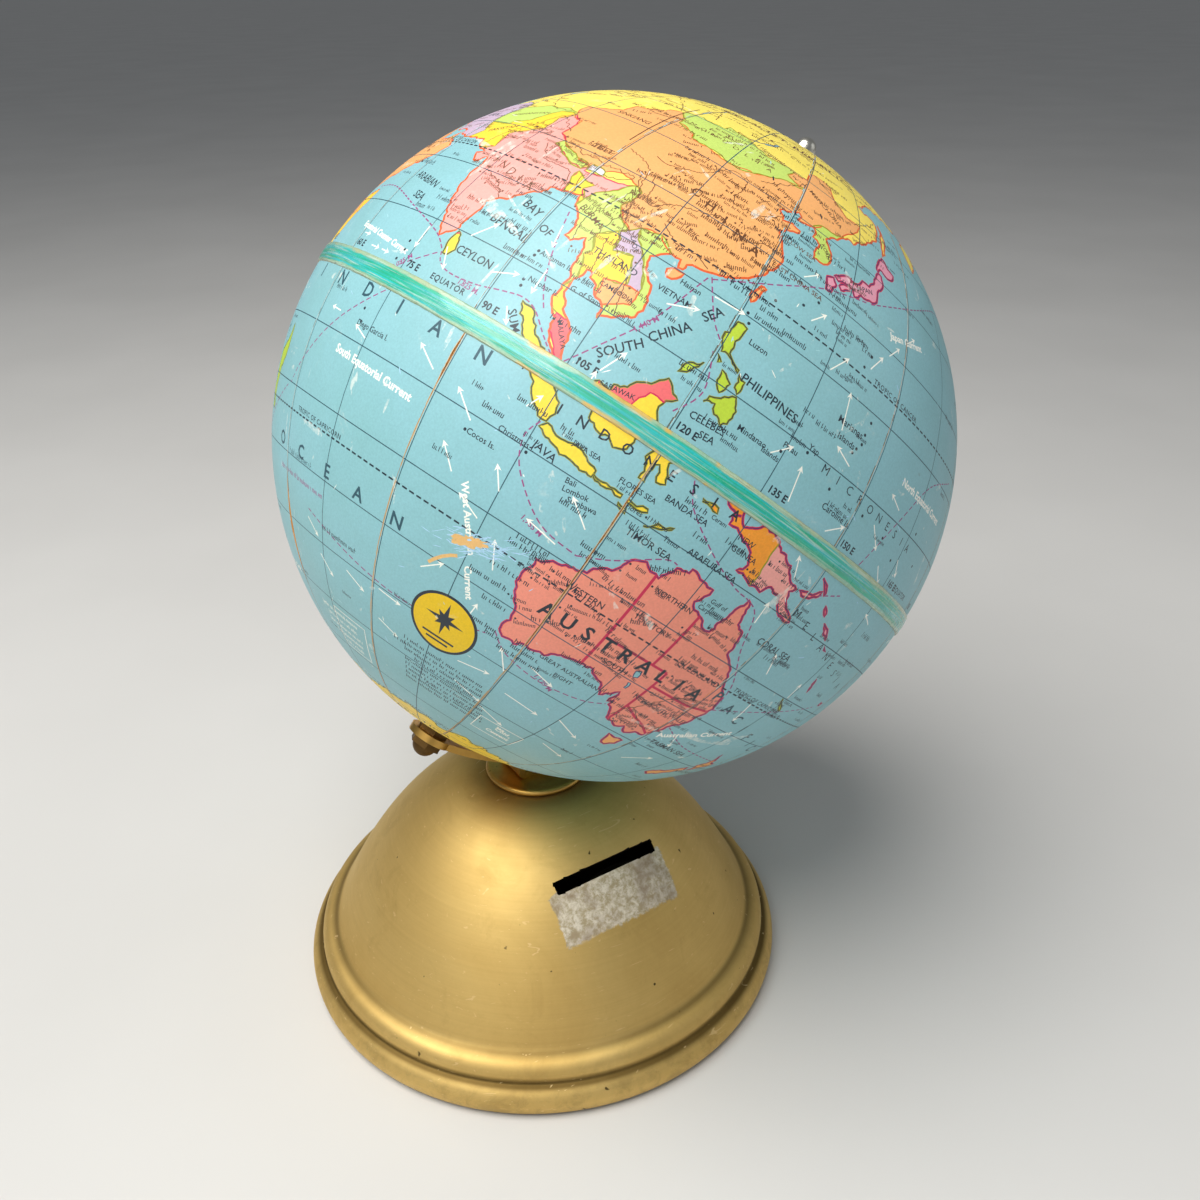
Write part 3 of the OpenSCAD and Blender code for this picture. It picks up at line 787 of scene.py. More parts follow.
# ---- The printed map: lands -----------------------------------------------
# Each land: ink, coast ink, then its outline.
LANDS = {
    "eurasia": ("ussr", "rust", """32.5,30 33.5,28.5 34.2,27.8 34.9,29.5 35.5,27.8 37,25.5 38.5,23.5
        39.1,21.3 40.5,19.5 42.5,17 42.8,15 43.3,12.8 45,12.8 48,14 50,15 52.2,15.7 54,17 56.5,18
        57.7,19.5 58.8,20.5 59.8,22.4 58.6,23.6 57,24.1 56.4,25 56.3,26.3 55.3,25.3 54,24.2 52,24
        51.6,24.5 51.5,25.8 51,26.1 50.7,25 50.1,26.6 48.8,27.8 48.2,29 47.9,30 49,30.3 50.8,29.2
        51.5,27.9 53.5,26.8 56,27.1 57,26.9 57.4,25.7 59.5,25.4 61.6,25.2 64,25.3 66.5,25.3 66.8,24.8
        67.5,23.9 68.8,23.2 70.3,22.9 69,22.3 70.3,20.9 71.5,21 72.3,22.2 72.8,21.2 72.8,19.1 73.3,17
        74,15 74.8,13 75.7,11.5 76.3,9.8 77.5,8.1 78.2,8.9 79,9.3 79.8,10.3 79.9,12 80.3,13.5 80.1,15.3
        81.3,16.3 82.3,16.8 84,18.3 85.5,19.8 87,20.8 87,21.5 88.2,21.7 89,21.8 90.4,22.2 91.8,22.5
        92.3,20.8 93.6,19.8 94.4,18.3 94.3,16.1 95.4,15.8 96.3,16.5 97,17.2 97.7,15.9 98.1,13.8 98.7,11.7
        98.5,10 98.3,8.2 99.2,6.8 100.3,5.8 100.6,4 101.3,2.9 102.6,1.9 103.5,1.3 104.2,1.4 103.5,2.8
        103.4,4.2 103,5.5 102.2,6.2 101,6.9 100.5,7.3 100.2,8.4 99.3,9.3 99.3,10.8 100,12.5 100,13.4
        100.9,13.4 101,12.7 102.3,12.2 103.2,10.8 104.4,10.4 104.8,9.5 104.8,8.6 106.4,9.6 107.2,10.4
        108.9,11.3 109.3,12.6 109.1,14 108.3,16.1 107.2,16.9 106,18.6 105.8,19.6 106.8,20.6 108,21.5
        109.5,21.5 109.8,20.3 110.5,20.4 110.6,21.3 112,21.8 113.5,22.1 114.3,22.4 116,22.9 117.5,23.9
        118.8,24.8 119.8,26 120.8,27.8 121.7,29 122,30 121.9,31 121,32.5 119.9,34.3 119.3,35 120.4,36
        122.5,36.9 122.5,37.4 120.8,37.8 119,37.2 118.8,38 117.7,38.8 119,39.3 121,40.8 121.7,40.3
        121.3,39 122.3,39.3 124.3,39.9 125.2,39.4 125,38.1 126.6,37.5 126.3,36.5 126.4,34.6 127.6,34.6
        129.2,35.2 129.4,36.8 128.4,38.5 127.5,39.6 129.7,41 130.7,42.3 132,43.1 133.5,42.8 135.5,44.3
        138,46.5 140.3,48.5 140.5,50 141.3,52 141.3,53.2 139.5,54.2 137.3,53.8 135.4,54.8 138,57
        141.5,58.8 145,59.4 149,59.6 152,59 155,59.4 157,61.6 160,60.9 163,62.3 164.5,62.5 163,61
        160.3,60.3 158,58.2 156.6,57.5 155.7,56 155.6,54 156.1,52.3 156.7,51 158.3,52.4 159.8,53.3
        160.3,54.5 162,54.9 161.8,56 163.2,56.2 162.8,57.8 163.3,59.6 166,60 170,60.2 172.5,61.3 176,62.4
        179.3,62.6 178.5,64.5 182,65.2 186.5,64.5 190,65.8 187.5,67 183,68.3 180,69 176,69.8 170.5,69.7
        165,69.5 161,69.5 159.5,70.5 153,71 146,72.3 140,72.7 135,71.6 130,71 128.5,72.5 123,73 118,73.2
        113.5,73.7 110,74 107,76.5 104,77.7 100,76.3 94,76 87,75 81,73.6 80.7,72.2 77,72.3 74.8,72.8
        72.8,71.4 73.5,68.2 72.5,68.5 72,71.3 72.8,72.8 69.5,73 67,71 68.5,68.5 65,69 60.5,69.8 59.5,68.5
        54,68.3 48,67.7 46,68.3 44.2,68.3 43.5,66.3 40,64.8 37.8,64 34.5,64.6 33,66.7 38,66.2 41,66.8
        38,68.5 33.5,69.4 31,70.3 28,71 25.5,70.9 20,70 15.5,68.5 13.5,66.5 11,64.6 9,63.4 5.5,62 5,60.3
        5.5,58.8 8,58 10.5,59.3 11.2,58.8 12.5,56.3 13,55.4 14.3,55.5 16.5,57 18.5,60 17.2,61 17.5,62.5
        21,64.5 22.2,65.8 25,65 21.5,62.8 21.4,61 22.8,59.9 28,60.6 30,59.9 27.5,59.4 24,59.3 23.5,58.2
        24.4,57.2 22,57.6 21.1,56 20,54.8 18.5,54.7 14.3,54 11,54 10.6,55.5 10.5,57.6 8.3,57 8.2,55 8.8,54
        7,53.5 4.8,53 3.8,51.6 1.7,50.9 0.2,49.5 -1.5,49.6 -1.8,48.6 -4.7,48.4 -2.5,47.2 -1.2,45.9
        -1.3,43.7 -4,43.4 -8.8,43.5 -8.8,41 -9.4,38.7 -8.8,37 -6.5,36.9 -5.5,36 -2.2,36.8 -0.5,38 0,39.8
        2.2,41.3 3.2,42.3 3.2,43.2 5,43.3 7.5,43.8 9,44.4 10.5,42.9 12.3,41.8 14.3,40.8 15.8,40 16,38.3
        17.1,39 17,40.5 18.4,40 16.2,41.7 14,42.7 12.4,44.3 13.5,45.6 15,44.5 16.5,43.4 19,41.9 19.4,40.5
        21.2,38.4 21.8,36.8 23,36.5 23.8,38 22.9,39.4 22.8,40.5 26,40.8 28.8,41.2 28,42.6 28.6,44 30,45.8
        32,46.4 33.5,46 33,45.3 33.6,44.5 36.5,45.3 35.2,46.3 38.2,47 39.2,47.2 38,46 37.5,44.8 39.7,43.5
        41.5,42 39,41 36,41.7 33,42 29.2,41.1 27.5,40.3 26.3,39.3 27.2,37.2 29,36.6 30.6,36.8 32.5,36.1
        34.5,36.7 36,36.3 35.8,34.8 35,32.8 34,31.3 32.5,31.2"""),
    "africa": ("yellow", "rust", """32.5,30 33.5,27.8 35.5,24 37.2,21 37.3,19 39.3,15.8 41.2,14.5
        43.1,12.7 42.7,11.6 44.5,10.4 48,11.2 51.2,11.9 51,10.4 49.8,8 48,4.5 46,2.3 42.8,-0.6 41.5,-1.7
        40.2,-2.8 39.2,-4.8 38.9,-6.6 39.5,-8 40.5,-10.5 40.6,-15 37.5,-17.6 34.9,-19.8 35.4,-23.5
        32.8,-25.9 32.5,-28.3 30.7,-30.9 28,-33 25.7,-34 22,-34.1 20,-34.8 18.4,-34.2 18.2,-32 16.5,-28.6
        14.8,-25.5 14.4,-22 12,-18 11.8,-16 13.7,-12 13.2,-9 12.3,-6 9.8,-2.6 8.8,-0.7 9.5,1.2 9.7,3.5
        8.5,4.7 6,4.3 4.4,6.3 1,6 -2,4.8 -4.5,5.2 -7.6,4.4 -11.5,6.8 -13.2,9 -15,11 -16.7,12.5 -17.4,14.7
        -16.2,17 -16.5,19.5 -17,21 -16,23.8 -14.5,26.1 -12.9,28 -9.8,29.7 -9.7,31.5 -6.8,34 -5.9,35.8
        -2,35.1 0,36 3,36.9 7,37 10,37.3 11,36.9 10.2,34.4 11.2,33.2 15.3,32.3 16,31.2 19,30.3 20.1,32.2
        21.6,32.9 24,32 25.2,31.6 29,30.9 31,31.6 32.5,31.2"""),
    "madagascar": ("leaf", "olive",
        "49.3,-12 50.4,-15.6 49.5,-17.5 47.2,-24.8 45.2,-25.5 43.4,-22.5 44.4,-19.8 44.5,-16.3 47,-15.3"),
    "ceylon": ("yellow", "olive", "79.8,8.5 80.2,9.8 81.3,8.6 81.8,7.2 81.1,6.2 80.2,6.1 79.8,7.5"),
    "sumatra": ("yellow", "olive", """95.3,5.6 97.5,5.2 98.8,3.7 100.4,2.2 102,0.8 103.6,-0.8 104.5,-1.8
        106,-3 105.8,-5.8 104.5,-5.8 102.3,-3.9 100.5,-1.5 99,0.6 97.5,2.5 96,4"""),
    "java": ("yellow", "olive", """105.3,-6.8 106.1,-5.9 108.5,-6.7 110.8,-6.4 112.6,-6.9 114.5,-7.7
        114.4,-8.7 111,-8.3 108,-7.8 106.4,-7.4"""),
    "sumbawa": ("yellow", "olive", "114.5,-8.2 116.5,-8.3 119,-8.4 119,-8.9 116,-8.9 115.1,-8.8"),
    "flores": ("yellow", "olive", "119.9,-8.4 122.8,-8.2 123,-8.6 120,-8.9"),
    "sumba": ("yellow", "olive", "119,-9.5 120.4,-9.7 120.6,-10.3 119.2,-9.9"),
    "timor": ("yellow", "olive", "123.5,-10.3 125,-9 127.2,-8.4 126.6,-9"),
    "borneo": ("yellow", "olive", """108.9,1.2 109.6,2 111.3,1.6 111.4,2.6 113,3.2 114,4.6 115.3,5.2
        116.8,7 117.7,6.4 119.2,5.3 118,4.4 117.6,3.3 118.1,2.2 119,1 117.7,0.6 117.4,-0.7 116.5,-1.7
        116.3,-3.3 114.7,-4.1 113.5,-3.2 111.8,-3.4 110.2,-2.6 110,-1.3 109.1,-0.2"""),
    "celebes": ("yellow", "olive", """120,0.8 121,1.3 123.3,0.95 125.2,1.6 124.4,0.4 121,0.45 120.3,-0.9
        121.8,-0.9 123.4,-0.8 121.8,-1.9 122.5,-3.3 122.9,-4.4 121.7,-4.8 121.4,-3.5 120.9,-2.7 120.4,-3
        120.4,-5.6 119.5,-5.5 119.4,-3.4 118.8,-2.8 119.4,-1.2 119.8,0"""),
    "halmahera": ("yellow", "olive", "127.4,1 128.7,1.5 128,0.5 128.4,-0.8 127.7,0"),
    "ceram": ("yellow", "olive", "128,-3.2 130.5,-3.1 130.8,-3.8 128.2,-3.5"),
    "new_guinea": ("pink", "magenta", """130.9,-0.9 132.3,-0.4 134.1,-0.9 134.2,-2.5 135,-3.3 137.7,-1.5
        141,-2.6 144.6,-3.9 145.8,-5.4 147.8,-6 147,-6.8 148.6,-9 150.8,-10.3 149.7,-10.5 147.2,-9.5
        146,-8.1 144,-7.7 143,-9.1 141,-9.1 138.9,-8.3 137.8,-8.4 138.8,-7 138,-5.5 135.5,-4.4 133,-4
        132.7,-2.8 133.8,-2.3 132,-2.2 131,-1.4"""),
    "new_britain": ("pink", "magenta",
        "148.4,-5.8 150.3,-5.5 151.5,-4.9 152.3,-4.2 152.2,-5 150.9,-6 149.3,-6.3"),
    "new_ireland": ("pink", "magenta", "150.8,-2.6 152.4,-3.2 153.1,-4.6 152.6,-4"),
    "solomons": ("rose", "magenta", "154.7,-5.5 155.6,-6 156,-6.8 155.2,-6.3"),
    "solomons_south": ("rose", "magenta", "157,-7.5 158.6,-8 160,-9.5 158.4,-8.8"),
    "san_cristobal": ("rose", "magenta", "161,-10.1 162.3,-10.7 161.5,-10.7"),
    "new_caledonia": ("leaf", "olive", "164,-20.1 165.5,-21.2 167,-22.3 166,-22"),
    "new_hebrides": ("rose", "magenta", "166.6,-14.8 167.2,-15.6 168,-17.4 167.4,-16.6"),
    "fiji": ("rose", "magenta", "177.3,-17.6 178.6,-17.7 178.4,-18.2 177.4,-18.2"),
    "luzon": ("leaf", "olive", """120.6,18.5 122.2,18.4 121.6,16 121.8,14.2 124,13 124,12.6 122.5,13.6
        120.7,13.8 120.2,14.8 119.8,16.3 120.4,16.6"""),
    "mindanao": ("leaf", "olive",
        "122,7 122.4,8 123.8,8.6 125.5,9.8 126.4,8.3 126.2,6.3 125.5,5.7 124.1,6.4 123.5,7.6"),
    "samar": ("leaf", "olive", "124.3,12.5 125.5,12.1 125.3,10.2 124.6,10.8"),
    "panay": ("leaf", "olive", "122,11.8 123.2,11.2 123.9,10.8 123.2,9.1 122.4,9.8"),
    "palawan": ("leaf", "olive", "117.2,8.4 119.5,11.3 119.2,10.4 117.7,8.7"),
    "mindoro": ("leaf", "olive", "120.4,13.4 121.4,12.6 121,12.3"),
    "taiwan": ("orange", "rust", "120.1,23 121,25 121.9,25 121.4,23.5 120.8,22"),
    "hainan": ("orange", "rust", "108.7,19.3 109.5,20 111,20 110.5,18.8 109.3,18.3"),
    "kyushu": ("rose", "magenta", "129.8,33.3 131,33.9 131.9,33 131.3,31.4 130.3,31.2 130,32.5"),
    "shikoku": ("rose", "magenta", "132.4,33.3 134.3,34.3 134.6,33.8 133,32.8"),
    "honshu": ("rose", "magenta", """131,34.3 132.7,35.5 135.2,35.7 136.8,37.3 138.5,37.3 139.5,38.5
        140,40 140.3,41.2 141.4,41.3 142,39.6 141,38.2 140.8,35.8 139.8,35 138.5,34.7 137,34.6 135.8,33.5
        135.2,34.4 133.5,34.4 132,33.9"""),
    "hokkaido": ("rose", "magenta", """140,42 140.4,43.3 141.7,45.4 143.5,44.2 145.3,43.8 145.2,43.2
        143.3,42 141,42.5 140.5,41.5"""),
    "sakhalin": ("ussr", "rust", "142,46 142,48 142.2,51 142.6,54.3 143.3,52.5 143.5,49.5 143,47"),
    "australia": ("salmon", "magenta", """114.1,-21.8 113.5,-24 113.3,-26.1 114.6,-28.8 115.7,-31.8
        115,-33.6 116,-34.9 118.3,-35 120,-34 123.5,-33.9 124.2,-33 126.2,-32.3 129,-31.7 131.2,-31.5
        134,-32.8 135.6,-34.9 136.9,-33.8 137.8,-32.6 137.7,-35.2 138.4,-34.4 138.4,-35.6 139.7,-36.5
        140.6,-38 143.5,-38.8 144.9,-37.9 146.4,-39.1 147.8,-37.9 149.9,-37.5 150.2,-36 151.4,-33.5
        152.9,-31.6 153.6,-28.7 153.1,-26 152.7,-25 150.8,-23.3 149.2,-21.2 147.3,-19.4 146.2,-18.8
        145.8,-16.9 145.3,-15 143.8,-14.4 143.4,-12.6 142.5,-10.8 141.8,-12.6 141.6,-14.3 140.9,-17.4
        139.5,-17.5 137.8,-16.3 135.8,-15 136.9,-12.3 135,-12.1 132.6,-11.5 132.5,-12.2 130.7,-12.5
        130,-14 129.5,-15 128,-14.8 126.8,-14 125.3,-14.6 124.4,-16 123.6,-17.5 122.2,-18 121,-19.6
        119,-20 117,-20.7"""),
    "tasmania": ("orange", "magenta",
        "144.7,-40.8 146.5,-41.1 148.3,-40.9 148.2,-42.3 147,-43.6 146,-43.5 145.3,-42.3"),
    "north_island": ("orange", "magenta", """172.8,-34.5 174.5,-36 175.5,-36.6 175.9,-37.5 178.3,-37.6
        177.9,-39.2 176.9,-39.6 176.8,-40.3 175.3,-41.6 175,-40.1 173.8,-39.3 174.7,-38 174.3,-36.7"""),
    "south_island": ("orange", "magenta", """172.8,-40.5 174.3,-41.7 172.8,-43.6 170.9,-45.6 168.9,-46.6
        166.5,-46 168.3,-44.1 170.8,-42.9 171.8,-41.6"""),
    "north_america": ("pink", "magenta", """-168,65.7 -164,66.5 -166.5,68.3 -162,70 -156.5,71.3 -148,70.5
        -141,69.7 -135,69.2 -128,70.2 -124,69.5 -115,68.2 -108,68 -102,67.8 -96,68 -94.5,71.8 -91,69.5
        -87,67.5 -85.5,69.5 -82,69.5 -81.5,67.2 -86,66.3 -88,64.2 -93,62 -94.7,59.5 -94.5,58.6 -92.5,57
        -88,56.5 -82.3,55.2 -82,53 -80,51.3 -79,52 -79,54.5 -76.6,56.8 -78.5,58.8 -77.5,62.4 -73.5,62.3
        -70,61 -69.5,59 -67.5,58.3 -65.5,59 -64.5,60.3 -61.5,57 -57,53.5 -55.8,52.5 -60,50.2 -66.5,50.2
        -70,47.2 -65,49 -64.4,48.5 -65,47 -61.5,45.7 -60,46.5 -61,45.2 -66,43.6 -66.5,45 -70.2,43.5
        -70.8,42 -70,41.7 -73.9,40.7 -74.8,39 -76,37 -75.6,35.2 -78,33.9 -81,32 -81.4,30 -80.1,27
        -80.4,25.3 -81.8,26.1 -82.8,28.5 -84.2,30 -88,30.3 -89.5,29.2 -94,29.6 -97.3,27.8 -97.7,25
        -97.8,22.3 -96,19.3 -94.3,18.2 -91,18.8 -90.4,21 -87,21.5 -87.6,19 -88.5,16 -84,15.8 -83.3,14.5
        -83.7,11 -81.8,9 -79.6,9.5 -77.5,8.5 -77.8,7.3 -79,8.9 -80.4,7.4 -83,8.3 -85.8,10 -87.6,13
        -91.5,14 -95,16 -99.5,16.7 -105.3,19.8 -105.6,21.5 -109.3,25.6 -112.5,29.5 -114.8,31.7 -113.3,29
        -111,26 -109.6,23 -112.1,25 -115,27.8 -116,30.2 -117.2,32.8 -120.6,34.5 -122.5,37.5 -124.3,40.4
        -124,44 -124.7,48.3 -122.8,49 -127.8,52 -130.5,54.8 -134,58 -139.8,59.7 -146,60.8 -151.5,59.3
        -150.5,61.2 -154,58.5 -158.5,56 -164.5,54.6 -160,56.3 -157.5,58.7 -162,58.8 -165.3,61.2
        -164.5,63.1 -161,64.5 -166,64.5"""),
    "south_america": ("leaf", "olive", """-77.5,8.5 -75.5,10.7 -72,12.2 -71.5,11 -68.3,12 -66,10.6
        -62,10.7 -60,8.5 -57,6 -52,4.8 -50,0.5 -48,-0.8 -44.3,-2.6 -39.8,-3 -35.3,-5.2 -34.9,-8
        -37.2,-11.5 -39,-15 -39.7,-19.5 -41.9,-22.6 -46.5,-24.3 -48.6,-26.5 -50.2,-30 -53.5,-34
        -57.5,-34.5 -58.4,-34.3 -56.8,-36.6 -62,-39 -65,-41 -63.8,-42.5 -67.4,-46 -65.8,-47.5 -69,-50.8
        -68.3,-52.5 -65.2,-54.7 -69.5,-55.3 -74.3,-52 -75.5,-47.5 -73,-43 -73.5,-38 -71.5,-32 -70.3,-25
        -70.3,-18.3 -76.2,-14 -79.5,-8 -81.3,-4.8 -80.2,-2.8 -80.5,0 -78.8,1.5 -77.3,4 -77.8,7.3"""),
    "greenland": ("yellow", "rust", """-73,78.3 -68,76 -60,76 -56,73.5 -54,70.5 -53.5,67 -52,64 -48.5,61
        -43.5,60 -42,62.5 -40,65 -33,68 -25,70.2 -22,72.5 -20,75 -19,79 -30,82.5 -50,82 -66,80.3"""),
    "iceland": ("pink", "magenta", "-22.5,64 -24,65.5 -22,66.4 -18,66 -14.8,65.8 -13.8,64.7 -18.5,63.4"),
    "britain": ("rose", "magenta", """-5.6,50.1 -3.5,50.4 1.2,51.2 1.6,52.6 0.2,53 -1.5,55 -2,57.6
        -3.2,58.6 -5,58.5 -5.7,56.5 -4.8,54.8 -3,54 -4.6,53 -5,51.8 -3,51.4"""),
    "ireland": ("leaf", "olive", "-10,52 -9.9,54.2 -8,55.2 -6,54.8 -6.3,52.3 -8.5,51.6"),
    "baffin": ("pink", "magenta",
        "-66,62 -72,64.2 -78,64.5 -73,67 -79,70 -88,71 -89,73.5 -80,73.6 -72,71 -67,68.5 -62,66.5"),
    "victoria": ("pink", "magenta", "-117,69.2 -105,69 -104,71 -106,73.2 -117,72.8 -118.5,71"),
    "ellesmere": ("pink", "magenta", "-90,76.5 -80,76.3 -77,78.5 -66,81 -64,82.7 -80,83 -92,81"),
    "newfoundland": ("pink", "magenta", "-59,47.7 -56,47 -53,46.8 -53.5,49 -56,51.5 -58,49.5"),
    "cuba": ("yellow", "rust", "-84.8,22 -82,23.1 -79,22.4 -74.3,20.2 -77.6,19.9 -78.6,21.5 -82,22.4"),
    "hispaniola": ("orange", "rust", "-74.3,18.5 -72.7,19.9 -70,19.8 -68.4,18.6 -71.5,17.8"),
    "novaya_zemlya": ("ussr", "rust", "52,71.5 55,73.5 60,75.8 68,76.9 60,74.8 56,72 55,70.8"),
    "svalbard": ("pink", "magenta", "12,78 18,80 26,80 20,78.2 17,76.8"),
    "antarctica": ("ice", "olive", """-180,-78 -165,-78 -158,-77 -150,-76.5 -135,-74.5 -120,-74 -103,-74
        -100,-72.5 -90,-73 -80,-73.5 -74,-73 -68,-69 -62,-65 -57,-63.3 -60,-65.5 -62,-70 -61,-74 -70,-77
        -60,-78 -45,-78 -35,-78 -27,-76 -18,-73 -10,-71 0,-70 12,-70 25,-70.5 33,-69 40,-69.5 50,-67
        56,-66 62,-67.5 69,-68 71,-71 74,-69.8 80,-68 88,-66.7 100,-66 110,-66 120,-67 130,-66 138,-66.5
        146,-67.5 155,-69 164,-71 170,-72 166,-75 163,-78 180,-78 180,-89 -180,-89"""),
}
LAKES = {
    "caspian": """47.5,45.5 49.5,46.6 51,46.8 53,46.6 53,45.2 51,44.8 50.3,44.5 52.7,42.2 53,41 53.9,40
        53.8,37.3 51,36.7 49,37.6 49.5,40.3 48,42 47.5,43.5""",
    "aral": "58.5,45.5 60,46.5 61.5,46.3 60.5,44.5 58.5,43.8",
    "baikal": "103.8,51.5 106,52.2 109,54 109.8,55.7 109.3,55.6 108,53.8 105.5,52.2",
    "victoria_lake": "31.8,-1 33,0.3 34.2,-0.3 33.5,-2.3 32,-2.4",
    "superior": "-92,46.8 -88,48.6 -85,47.8 -84.6,46.6 -88,46.8",
    "michigan": "-87.6,41.8 -87.8,44.5 -86,46 -84.5,45.8 -83,45.3 -81.8,43.5 -83.5,44 -85.5,45 -86.4,43.2",
    "eyre": "136.8,-28.2 137.6,-27.8 137.9,-29 137.2,-29.3",
    "torrens": "137.4,-30.4 137.9,-30.4 137.9,-31.6 137.6,-31.6",
}
